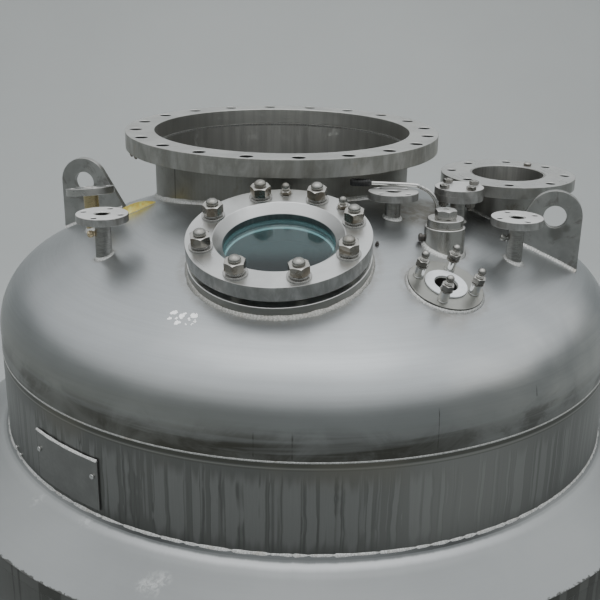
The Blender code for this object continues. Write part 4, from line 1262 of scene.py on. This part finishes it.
def build_sight_glass():
    """Sight glass with its base ring, seals, glass, cover, studs, washers, nuts and screws."""
    place = dome_frame(*SIGHT_XY)
    bore, outer, disc = SIGHT_BORE / 2, SIGHT_OD / 2, SIGHT_GLASS_D / 2
    low, top = SIGHT_COVER_Z
    turned("sight_base_ring", "base", box(bore, outer, *SIGHT_BASE_Z), 192, place,
           "sight_glass_base", 0.0024)
    turned("sight_gasket_ring", "seal", box(bore, disc, *SIGHT_SEAL_Z), 128, place,
           "sight_glass_gasket")
    # a glowing ring under the glass's edge: its glow paints the bright line of the gasket's edge
    # seen through the glass
    turned("sight_inner_seal", "seal_line", box(bore - 0.0034, bore - GAP, -0.0028, 0.0006),
           160, place, ease=0.0010)
    turned("sight_pane", "glass", box(0, disc, *SIGHT_GLASS_Z), 128, place, "sight_glass_disc",
           0.0010)
    data = bmesh.new()
    outline = [(bore, low), (outer, low), (outer, top), (SIGHT_BEVEL_D / 2, top),
               (bore, 0.0360)]
    lathe(data, outline, 192, ease=0.0012)
    drills = hole_cutters(SIGHT_PCD, 8, SIGHT_PHASE, 0.024, top, low)
    show("sight_cover_ring", cut(data, drills), "cover", place, "sight_glass_cover")
    nuts, studs, washers = bmesh.new(), bmesh.new(), bmesh.new()
    dice = random.Random(5)
    for index in range(8):
        spin = Matrix.Rotation(dice.uniform(0, 1), 4, "Z")
        spot = ring_place(SIGHT_PCD, 8, SIGHT_PHASE, index) @ spin
        tip = 0.0935 + dice.uniform(-0.001, 0.001)
        threaded(studs, spot, 0.0122, 0.0101, tip - 0.0050, 0.0028, 36)
        dome = [(0.0124 * cos(0.22 * k), tip - 0.0084 + 0.0084 * sin(0.22 * k))
                for k in range(7)]
        foot = [(0, tip - 0.0100), (0.0116, tip - 0.0100)]
        lathe(studs, foot + dome + [(0, tip)], 40, spot)
        hex_nut(nuts, spot, 0.0368, 0.0624, 0.0826, 0.0114)
        lathe(washers, box(0.0118, 0.0236, 0.0541, 0.0576), 48, spot, 0.0008)
        lathe(washers, box(0.0118, 0.0188, 0.0580, 0.0621), 40, spot, 0.0008)
    pitch, azimuths = SIGHT_SCREWS
    foot = [(0, 0.0560), (0.0055, 0.0560), (0.0055, 0.0640)]
    for azimuth in azimuths:
        spot = ring_place(pitch, 1, azimuth, 0)
        lathe(washers, box(0.0050, 0.0132, 0.0541, 0.0560), 32, spot, 0.0004)
        hex_nut(nuts, spot, 0.0190, 0.0562, 0.0640, 0.0050)
        lathe(studs, cap_outline(foot, 0.0086, 0.0715, 0.6, 0.31, 0.0801), 28, spot)
    show("sight_nuts", nuts, "nut", place, angle=28)
    show("sight_studs", studs, "bolt", place, angle=50)
    show("sight_washers", washers, "washer", place)
    path = []
    for spot, side, other in dome_ring_path(place, outer, 900):
        away = other.normalized()
        path.append((spot, side * 0.9, away * (0.75 + 0.65 * max(0.0, -away.y) ** 1.5)))
    welded("sight_weld", path, 0.0062, "weld_beige", ripple=0.16, wander=0.50, pitch=0.007)


def build_pad():
    """Studded pad with its gasket, spacer sleeves, nuts and studs."""
    place = dome_frame(*PAD_XY)
    turned("pad_disc", "pad_plate", box(PAD_BORE / 2, PAD_OD / 2, -0.030, 0.006), 128, place,
           "pad_ring", 0.0014)
    turned("pad_seal", "ptfe", box(0.024, 0.0422, 0.0063, 0.0093), 96, place, "pad_gasket",
           0.0006)
    sleeves, nuts = bmesh.new(), bmesh.new()
    sleeve = [(0, 0.0063), (0.0108, 0.0063), (0.0108, 0.0082), (0.0100, 0.0090),
              (0.0100, 0.0285), (0, 0.0285)]
    foot = [(0, 0.0480), (0.0060, 0.0480), (0.0060, 0.0530)]
    for index in range(4):
        spot = ring_place(PAD_PCD, 4, PAD_PHASE, index) @ Matrix.Rotation(0.9 * index, 4, "Z")
        lathe(sleeves, sleeve, 40, spot, 0.0008)
        lathe(nuts, cap_outline(foot, 0.0078, 0.0568, 0.7, 0.3, 0.0646), 32, spot)
        threaded(nuts, spot, 0.0074, 0.0270, 0.0545, 0.0020, 32)
        lathe(nuts, box(0.0072, 0.0128, 0.0310, 0.0328), 40, spot, 0.0004)
        hex_nut(nuts, spot, 0.0215, 0.0330, 0.0455, 0.0072)
    show("pad_sleeves", sleeves, "bright", place,
         "pad_stud_1 pad_stud_2 pad_stud_3 pad_stud_4", angle=40)
    show("pad_nuts", nuts, "nut_dark", place, angle=28)
    welded("pad_weld", dome_ring_path(place, PAD_OD / 2, 320), 0.0044, ripple=0.15,
           wander=0.15)


def build_boss():
    """Boss with a stepped hexagonal plug and a small clip at its side."""
    place = frame_at(above_weld(*BOSS_XY), UP)
    data = bmesh.new()
    lathe(data, box(0.0250, BOSS_R, 0.232, 0.310), 96, ease=0.0024, steps=4)
    show("boss_socket", data, "boss", place, "boss_body")
    data = bmesh.new()
    outline = [(0, 0.262), (0.0245, 0.262), (0.0245, 0.3103), (BOSS_PLUG_R, 0.3103),
               (BOSS_PLUG_R, 0.3270), (0, 0.3270)]
    lathe(data, outline, 96, ease=0.0018)
    hex_nut(data, Matrix.Rotation(0.15, 4, "Z"), 0.0400, 0.3265, 0.3450, 0.0060)
    lathe(data, box(0, 0.0058, 0.3265, 0.3440), 32)
    show("boss_stopper", data, "boss", place, "boss_plug")
    welded("boss_weld", dome_ring_path(place, BOSS_R, 200), 0.0060, ripple=0.18, wander=0.2)
    azimuth, height = BOSS_CLIP
    out = outward(azimuth)
    outline = [(0, 0), (0.0062, 0), (0.0062, 0.0050), (0.0086, 0.0050), (0.0086, 0.0105),
               (0.0050, 0.0125), (0, 0.0125)]
    place = frame_at(above_weld(*BOSS_XY, height) + out * (BOSS_R - 0.001), out)
    turned("boss_clip", "dark", outline, 32, place, ease=0.0008)
    screw = dome_frame(*STUB_XY)
    data = bmesh.new()
    hex_nut(data, screw, 0.0080, 0.0002, 0.0040, 0.001)
    outline = [(0, 0.0002), (0.0026, 0.0002), (0.0026, 0.0075), (0.0015, 0.0085), (0, 0.0085)]
    lathe(data, outline, 20, screw)
    show("head_stub", data, "dark")


def build_lugs():
    """Lifting lugs with eased edges and fillet welds."""
    hole_r, hole_z = LUG_HOLE
    width = hole_r + LUG_R - LUG_INNER_R
    outline = []
    for step in range(25):
        distance = LUG_INNER_R + width * step / 24
        outline.append((distance, dome_height(distance) + GAP))
    for step in range(41):
        angle = radians(LUG_TURN * step / 40)
        outline.append((hole_r + LUG_R * cos(angle), hole_z + LUG_R * sin(angle)))
    across = Matrix.Translation((hole_r, 0, hole_z)) @ Matrix.Rotation(pi / 2, 4, "X")
    for side, azimuth in LUG_AZIMUTHS.items():
        place = Matrix.Translation(above_weld(0, 0)) @ turned_to(azimuth)
        data, drill = bmesh.new(), bmesh.new()
        prism(data, outline, LUG_T)
        lathe(drill, box(0, LUG_HOLE_R, -0.02, 0.02), 64, across)
        lug = show("lug_plate_" + side, cut(data, drill), "plate", place, "lifting_lug_" + side,
                   weighted=False)
        soften(lug, 0.0012)
        data = bmesh.new()
        for sign in (-1, 1):
            away = place.to_3x3() @ Vector((0, sign, 0))
            path = []
            for step in range(121):
                distance = LUG_INNER_R + 0.003 + (width - 0.006) * step / 120
                spot = place @ Vector((distance, sign * LUG_T / 2, dome_height(distance)))
                normal = dome_normal(spot)
                path.append((spot, normal, (away - normal * away.dot(normal)).normalized()))
            bead(data, path, 0.0058, ripple=0.16, wander=0.2, closed=False)
        show("lug_welds_" + side, data, "weld", weighted=False)


def build_handle():
    """Bent handle with its hub and moulded grip."""
    data = bmesh.new()
    path = smooth_path([above_weld(x, HANDLE_Y, z) for x, z in HANDLE_PATH])
    bar(data, path, HANDLE_R, 24)
    lathe(data, box(0, 0.010, GAP, 0.014), 40, dome_frame(HANDLE_BASE_X, HANDLE_Y), 0.0012)
    show("handle_bar", data, "bar", stands_for="bent_handle")
    low, high = GRIP_SPAN
    outline = [(0, low), (0.0060, low), (GRIP_R, low + 0.004)]
    for step in range(6):
        start = low + 0.007 + step * 0.0056
        outline += [(GRIP_R, start), (0.0079, start + 0.0012), (0.0079, start + 0.0024),
                    (GRIP_R, start + 0.0036)]
    outline += [(GRIP_R, high - 0.004), (0.0060, high), (0, high)]
    place = frame_at(above_weld(0, HANDLE_Y, GRIP_Z), (1, 0, 0))
    turned("grip_sleeve", "grip", outline, 40, place, "handle_grip")


def build_bracket():
    """Bare nameplate bracket, its top weld and two rivets, and two studs beside it."""
    turn = turned_to(PLATE_AZIMUTH)
    front = VESSEL_R + PLATE_T
    low, high = (HEAD_WELD_Z + z for z in PLATE_Z)
    data = bmesh.new()
    curved_plate(data, VESSEL_R + GAP, front, low, high, PLATE_HALF_ANGLE, 32, turn)
    plate = show("name_plate", data, "bracket", stands_for="nameplate_bracket", weighted=False)
    soften(plate, 0.0006)
    path = []
    for step in range(181):
        out = turn @ polar(1, PLATE_HALF_ANGLE * (step / 90 - 1))
        path.append((out * (front - 0.0012) + UP * high, UP, out))
    welded("plate_weld", path, 0.0038, "weld_light", pitch=0.004, ripple=0.10, wander=0.25,
           closed=False)
    places = [(turn @ polar(1, PLATE_HALF_ANGLE * t), front, z, 0.0056, 0.0060, 24)
              for t, z in RIVETS]
    places += [(outward(azimuth), VESSEL_R, z, 0.0042, 0.0050, 20) for azimuth, z in STUD_SPOTS]
    data = bmesh.new()
    for out, distance, z, radius, tip, segments in places:
        place = frame_at(out * distance + UP * (HEAD_WELD_Z + z), out)
        lathe(data, [(0, 0), (radius, 0), (radius, 0.0030), (0, tip)], segments, place, 0.0008)
    show("plate_rivets", data, "bright")


def build_outlet():
    """Bottom outlet pipe, flange and welds."""
    top = INNER_TANGENT_Z - (dome_height(0) - STRAIGHT) + VESSEL_WALL + 0.008
    outline = box(OUTLET_PIPE_R - 0.004, OUTLET_PIPE_R, OUTLET_FACE_Z + 0.003, top)
    turned("outlet_pipe", "leg", outline, 96, stands_for="outlet_neck", slot="neck_steel")
    place = frame_at((0, 0, OUTLET_FACE_Z), -UP)
    flange_piece("outlet_ring", "flange_small", OUTLET, 96, place, "outlet_flange")
    data = bmesh.new()
    height = OUTLET_FACE_Z + OUTLET["t"]
    bead(data, ring_path(OUTLET_PIPE_R, height, (0, 1), (1, 0), 160), 0.0045)
    height = JACKET_BOTTOM_Z - JACKET_STRAIGHT - DISH_DEPTH * JACKET_R + 0.0006
    bead(data, ring_path(OUTLET_PIPE_R, height, (0, -1), (1, 0), 160), 0.0055)
    show("outlet_welds", data, "weld", weighted=False)


def build_legs():
    """Pipe legs with foot plates, wear pads and welds."""
    low, high = LEG_PAD_Z
    half, face = FOOT_SIZE / 2, LEG_PAD_R + LEG_PAD_T
    touch = acos((face ** 2 + LEG_REACH ** 2 - LEG_R ** 2) / (2 * face * LEG_REACH))
    fillet = {"ripple": 0.16, "wander": 0.15}
    for name, azimuth in LEG_AZIMUTHS.items():
        turn = turned_to(azimuth)
        place = turn @ Matrix.Translation((LEG_REACH, 0, 0))
        data = bmesh.new()
        prism(data, box(-half, half, 0, FOOT_T), FOOT_SIZE)
        bmesh.ops.bevel(data, geom=data.edges[:], offset=0.0016, segments=2, affect="EDGES",
                        profile=0.5)
        lathe(data, box(0, LEG_R, FOOT_T - 0.001, LEG_TOP_Z), 96, ease=0.003)
        curved_plate(data, LEG_PAD_R, face, low, high, LEG_PAD_HALF_ANGLE, 24,
                     place.inverted() @ turn)
        leg = show("leg_pipe_" + name, data, "leg", place, "leg_" + name)
        leg.modifiers["weighted"].weight = 80
        data = bmesh.new()
        bead(data, ring_path(LEG_R, FOOT_T, (0, 1), (1, 0), 220, place), 0.0065, **fillet)
        for sign in (-1, 1):
            corner = turn @ polar(face, sign * touch)
            normal = corner.normalized()
            path = upright_path(corner, low, LEG_TOP_Z, 160, normal, UP.cross(normal) * sign)
            bead(data, path, 0.0070, closed=False, **fillet)
        bead(data, pad_edge(turn), 0.0060, **fillet)
        show("leg_welds_" + name, data, "weld", weighted=False)


def pad_edge(turn):
    """Bead path round a wear pad on the jacket."""
    low, high = LEG_PAD_Z
    path = []
    for start, stop, level, away in ((-1, 1, low, -UP), (1, -1, high, UP)):
        for step in range(60):
            angle = LEG_PAD_HALF_ANGLE * (start + (stop - start) * step / 59)
            out = turn @ polar(1, angle)
            path.append((out * LEG_PAD_R + UP * level, out, away))
        side = UP.cross(out) * stop
        for step in range(1, 90):
            height = level + (low + high - 2 * level) * step / 90
            path.append((out * LEG_PAD_R + UP * height, out, side))
    return path


def build_marks():
    """Chalk dabs and a strip of yellow tape."""
    dice = random.Random(3)
    data = bmesh.new()
    for x, y, wide, deep in CHALK:
        for _ in range(5):
            spot = dome_frame(x + dice.uniform(-0.75, 0.75) * wide,
                              y + dice.uniform(-0.75, 0.75) * deep)
            ring = []
            grow = dice.uniform(0.42, 0.74)
            for step in range(14):
                edge = polar(grow * dice.uniform(0.55, 1.25), 2 * pi * step / 14)
                ring.append(data.verts.new(spot @ Vector((wide * edge.x, deep * edge.y,
                                                          0.0003))))
            bridge(data, ring, [data.verts.new(spot @ Vector((0, 0, 0.0009)))])
    show("chalk_dabs", data, "chalk", weighted=False)
    # the tape stands up from the head and curls, and thins towards its far end
    data = bmesh.new()
    rows = []
    along = Vector((0.064, 0.094, 0)).normalized()
    across = Vector((along.y, -along.x, 0))
    for step in range(41):
        t = step / 40
        foot = Vector((-0.422 + 0.066 * t, -0.026 + 0.060 * t ** 1.6, 0))
        lean = radians(38 + 24 * sin(2.6 * t + 0.5))
        width = 0.021 * (1 - 0.92 * t ** 3.0) * (1 - 0.25 * (1 - t) ** 4)
        row = []
        for k in range(9):
            reach = k / 8 * width
            curl = lean + 0.5 * (k / 8) ** 2
            flat = foot - across * (reach * cos(curl))
            row.append(data.verts.new(dome_point(flat.x, flat.y, 0.0008 + reach * sin(curl))))
        rows.append(row)
    skin(data, rows, closed=False, loop=False)
    tape = show("yellow_tape", data, "tape", weighted=False)
    thick = tape.modifiers.new("thick", "SOLIDIFY")
    thick.thickness = 0.0004
    thick.offset = 0


def build_stage():
    """Pale floor that sweeps up into a distant wall all round."""
    outline = [(0, 0), (FLOOR_R, 0)]
    for step in range(1, 17):
        angle = pi / 2 * step / 16
        outline.append((FLOOR_R + WALL_CURVE_R * sin(angle), WALL_CURVE_R * (1 - cos(angle))))
    outline.append((FLOOR_R + WALL_CURVE_R, WALL_TOP_Z))
    data = bmesh.new()
    lathe(data, outline, 96)
    bmesh.ops.recalc_face_normals(data, faces=data.faces)
    bmesh.ops.reverse_faces(data, faces=data.faces)
    floor = new_object("studio_floor", data)
    floor.data.materials.append(stage_finish())
    floor.data.shade_smooth()
    floor.location.z = -0.0005


def build_light():
    """Soft overhead light with a darker front, as under an overcast sky beside a building."""
    scene = bpy.context.scene
    scene.world = bpy.data.worlds.new("studio")
    scene.world.use_nodes = True
    tree = scene.world.node_tree
    tree.nodes.clear()

    def add(kind, inputs, **settings):
        node = tree.nodes.new("ShaderNode" + kind)
        for name, value in settings.items():
            setattr(node, name, value)
        for key, value in inputs.items():
            if isinstance(value, bpy.types.NodeSocket):
                tree.links.new(value, node.inputs[key])
            else:
                node.inputs[key].default_value = value
        return node

    x, y, z = add("SeparateXYZ", {0: add("TexCoord", {}).outputs["Generated"]}).outputs
    skies = []
    for stops in (FRONT_SKY, BACK_SKY):
        node = add("ValToRGB", {0: z})
        ramp = node.color_ramp
        ramp.interpolation = "EASE"
        while len(ramp.elements) < len(stops):
            ramp.elements.new(0.5)
        for element, (place, level) in zip(ramp.elements, stops):
            element.position = place
            element.color = (*(level * tint for tint in SKY_TINT), 1)
        skies.append(node.outputs[0])
    side = add("MapRange", {"Value": y, "From Min": -0.45, "From Max": 0.35},
               interpolation_type="SMOOTHSTEP")
    sky = add("Mix", {0: side.outputs["Result"]}, data_type="RGBA")
    for key, socket in zip((6, 7), skies):
        tree.links.new(socket, sky.inputs[key])
    right = add("MapRange", {"Value": x, "From Min": 0.0, "From Max": 0.8, "To Min": 1.0,
                             "To Max": 1.16})
    glow = add("Background", {"Color": sky.outputs[2], "Strength": right.outputs["Result"]})
    add("OutputWorld", {0: glow.outputs[0]})
    for name, (place, target, size, power) in LIGHTS.items():
        data = bpy.data.lights.new(name, "AREA")
        data.size = size
        data.energy = power
        light = bpy.data.objects.new(name, data)
        scene.collection.objects.link(light)
        light.visible_glossy = name != "softbox_fill"
        light.location = place
        aim = Vector(target) - Vector(place)
        light.rotation_euler = aim.to_track_quat("-Z", "Y").to_euler()


def build_camera():
    """Camera at the photograph's place, with its pitch and slight roll."""
    data = bpy.data.cameras.new("camera")
    data.sensor_width = 36.0
    data.lens = LENS
    data.clip_start, data.clip_end = 0.05, 100.0
    camera = bpy.data.objects.new("camera", data)
    bpy.context.scene.collection.objects.link(camera)
    ct, st, cy, sy = cos(PITCH), sin(PITCH), cos(YAW), sin(YAW)
    right, up = Vector((cy, -sy, 0)), Vector((sy * st, cy * st, ct))
    ahead = Vector((sy * ct, cy * ct, -st))
    x = right * cos(ROLL) + up * sin(ROLL)
    y = up * cos(ROLL) - right * sin(ROLL)
    rotation = Matrix((x, y, -ahead)).transposed().to_4x4()
    camera.matrix_world = Matrix.Translation(EYE) @ rotation
    bpy.context.scene.camera = camera


def make_looks():
    """Make every material and note it with its slot."""
    brown = (0.34, 0.30, 0.24)
    spots = [((LUG_HOLE[0] + x, 0, LUG_HOLE[1] + z), size, (0.22, 0.22, 0.20))
             for x, z, size in ((-0.030, -0.012, 0.020), (0.004, -0.034, 0.022),
                                (0.026, -0.022, 0.014))]
    sight_rim = SIGHT_BORE / 2 + 0.0006
    no_seam = -0.5  # height of a seam line that is nowhere on the piece
    slots = {
        "head_steel": {
            "head": head_finish(),
            # chalk and tape glow a little, which paints light into them
            "chalk": plain_finish("chalk_white", (0.88, 0.89, 0.89), (0.97, 0.97, 0.97),
                                  (0.8, 0.95), 300.0, 0.40),
            "tape": plain_finish("tape_yellow", (0.80, 0.56, 0.06), (0.98, 0.90, 0.30),
                                 (0.35, 0.55), 70.0, 0.16),
        },
        "streaked_steel": {
            "course": course_finish(),
            "inner": steel("inner_wall", (0.34, 0.33, 0.31), 0.42, 60.0, lay="upright",
                           stain=brown),
            "bracket": steel("bracket_plate", (0.31, 0.31, 0.30), 0.40, 160.0, lay="flat",
                             blotch=(0.88, 1.10)),
        },
        "shoulder_steel": {"shoulder": shoulder_finish()},
        "jacket_steel": {
            "jacket": jacket_finish(),
            "jacket_low": steel("jacket_dished", (0.38, 0.38, 0.37), 0.40, 90.0,
                                stain=(0.30, 0.28, 0.25)),
        },
        "neck_steel": {
            "weld": weld_finish("weld_metal", (0.50, 0.50, 0.48), (0.80, 0.80, 0.78), 0.8),
            "weld_light": weld_finish("weld_light", (0.56, 0.56, 0.54), (0.94, 0.94, 0.92),
                                      0.40),
            "weld_beige": weld_finish("weld_beige", (0.38, 0.374, 0.345), (0.64, 0.632, 0.60),
                                      0.72),
            "neck": steel("neck_pipe", (0.33, 0.325, 0.297), 0.42, 70.0, lay="upright",
                          blotch=(0.80, 1.12), stain=(0.28, 0.26, 0.21),
                          lining_light_and_shade=(0.3098, (0.88, 0.875, 0.83), 0.82, -0.0365)),
            "neck_side": steel("neck_side", (0.46, 0.455, 0.43), 0.40, 70.0, lay="upright",
                               blotch=(0.80, 1.12), stain=(0.30, 0.28, 0.23),
                               lining_light_and_shade=(0.0856, (0.84, 0.835, 0.80), 0.84, no_seam)),
            "small_neck": steel("neck_small", (0.38, 0.375, 0.355), 0.30, 420.0, 0.00022,
                                stain=brown, stain_level=(0.62, 0.80), lines=0.42),
            "neck_warm": steel("neck_brassy", (0.62, 0.52, 0.30), 0.28, 900.0, 0.00008,
                               stain=brown),
            "drip": plain_finish("drip_rusty", (0.13, 0.115, 0.09), (0.28, 0.25, 0.20),
                                 (0.5, 0.8), 220.0),
        },
        "turned_steel": {
            "flange": steel("flange_large", (0.72, 0.72, 0.695), 0.38, 420.0,
                            blotch=(0.88, 1.06), stain=(0.54, 0.50, 0.43),
                            stain_level=(0.56, 0.76), holes=(0.316, 0.376, 0.040),
                            rim_shade=(MANHOLE["od"] / 2, (0.34, 0.333, 0.30), 0.90),
                            lining_light_and_shade=(0.3110, (0.92, 0.915, 0.87), 0.84, no_seam)),
            "flange_side": steel("flange_side", (0.70, 0.70, 0.68), 0.30, 420.0,
                                 stain=(0.50, 0.46, 0.39), stain_level=(0.56, 0.76),
                                 rim_shade=(SIDE["od"] / 2, (0.38, 0.375, 0.35), 0.85),
                                 holes=(0.093, 0.153, 0.027), metallic=0.85),
            "flange_small": steel("flange_turned", (0.86, 0.855, 0.84), 0.34, 900.0, 0.0001,
                                  blotch=(0.90, 1.04), stain=(0.50, 0.45, 0.37),
                                  stain_level=(0.60, 0.78), holes=(0.0215, 0.051, 0.016),
                                  rim_shade=(SMALL["od"] / 2, (0.32, 0.312, 0.296), 0.92),
                                  metallic=0.55),
            "flange_tilted": steel("flange_worn", (0.70, 0.695, 0.67), 0.24, 300.0, 0.0001,
                                   blotch=(0.80, 1.08), stain=(0.22, 0.21, 0.19),
                                   stain_level=(0.54, 0.68), holes=(0.0215, 0.051, 0.016),
                                   rim_shade=(SMALL["od"] / 2, (0.52, 0.51, 0.48), 0.6)),
            "pad_plate": steel("pad_plate", (0.47, 0.47, 0.44), 0.34, 500.0,
                               stain=(0.36, 0.34, 0.29), stain_level=(0.54, 0.74),
                               rim_shade=(PAD_OD / 2, (0.12, 0.12, 0.11), 0.9)),
            "base": steel("base_turned", (0.41, 0.408, 0.38), 0.34, 700.0,
                          stain=(0.28, 0.26, 0.22), stain_level=(0.56, 0.76),
                          crown=(0.97, 0.97, 0.95),
                          lining_light_and_shade=(sight_rim, (0.22, 0.36, 0.37), 0.8, no_seam)),
            "cover": steel("cover_turned", (0.80, 0.805, 0.795), 0.31, 620.0,
                           stain=(0.60, 0.58, 0.54), stain_level=(0.64, 0.84),
                           rim_shade=(SIGHT_OD / 2, (0.33, 0.33, 0.315), 0.96),
                           flank_shade=(SIGHT_BEVEL_D / 2, (0.36, 0.36, 0.35)),
                           lining_light_and_shade=(sight_rim, (0.34, 0.37, 0.37), 0.8, no_seam)),
            "boss": steel("boss_turned", (0.56, 0.55, 0.52), 0.24, 90.0, lay="upright",
                          stain=(0.38, 0.34, 0.28), stain_level=(0.60, 0.80),
                          crown=(0.90, 0.89, 0.87)),
            "bar": steel("bar_drawn", (0.76, 0.755, 0.73), 0.18, 500.0),
        },
        "plate_steel": {
            "plate": steel("plate_mill", (0.50, 0.50, 0.48), 0.36, 60.0, lay="upright",
                           blotch=(0.78, 1.16), stain=(0.26, 0.25, 0.23),
                           stain_level=(0.52, 0.68), spots=spots),
        },
        "bolt_steel": {
            "bolt": steel("bolt_bright", (0.415, 0.41, 0.385), 0.26, 700.0,
                          stain=(0.20, 0.18, 0.145), stain_level=(0.48, 0.66)),
            "bright": steel("bright_steel", (0.80, 0.80, 0.78), 0.16, 700.0,
                            stain=(0.40, 0.36, 0.30), stain_level=(0.62, 0.80)),
            "nut": steel("nut_tarnished", (0.39, 0.37, 0.33), 0.20, 700.0,
                         stain=(0.17, 0.14, 0.10), stain_level=(0.46, 0.60),
                         crown=(0.66, 0.65, 0.62)),
            "washer": steel("washer_dull", (0.40, 0.395, 0.375), 0.26, 700.0,
                            crown=(0.54, 0.535, 0.52)),
            "nut_dark": steel("nut_dark", (0.30, 0.29, 0.27), 0.24, 700.0,
                              stain=(0.15, 0.125, 0.095), stain_level=(0.50, 0.68),
                              crown=(0.56, 0.55, 0.52)),
            "dark": steel("dark_steel", (0.16, 0.15, 0.14), 0.42, 700.0),
            "brass": steel("brass_tap", (0.80, 0.66, 0.44), 0.22, 700.0,
                           stain=(0.44, 0.30, 0.16)),
        },
        "leg_steel": {
            "leg": steel("leg_pipe", (0.44, 0.44, 0.43), 0.38, 60.0, lay="upright",
                         stain=(0.34, 0.32, 0.28)),
        },
        "gasket_rubber": {
            "seal": plain_finish("seal_pale", (0.80, 0.90, 0.90), (0.90, 0.97, 0.97),
                                 (0.45, 0.6)),
            # glows: painted light for the bright line seen through the glass
            "seal_line": plain_finish("seal_bright", (0.70, 0.92, 0.94), (0.86, 0.99, 1.0),
                                      (0.45, 0.6), glow=0.75),
        },
        "gasket_ptfe": {
            "ptfe": plain_finish("ptfe_white", (0.82, 0.85, 0.87), (0.93, 0.95, 0.96),
                                 (0.35, 0.5)),
        },
        "grip_plastic": {
            "grip": plain_finish("grip_black", (0.015, 0.015, 0.015), (0.035, 0.035, 0.034),
                                 (0.32, 0.5)),
        },
        "sight_glass": {"glass": glass_finish()},
    }
    for slot, looks in slots.items():
        for key, material in looks.items():
            LOOKS[key] = (material, slot)


def main():
    """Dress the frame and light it."""
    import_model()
    build_camera()
    make_looks()
    build_vessel()
    build_jacket()
    build_large_nozzles()
    build_small_nozzles()
    build_sight_glass()
    build_pad()
    build_boss()
    build_lugs()
    build_handle()
    build_bracket()
    build_outlet()
    build_legs()
    build_marks()
    build_stage()
    build_light()


main()
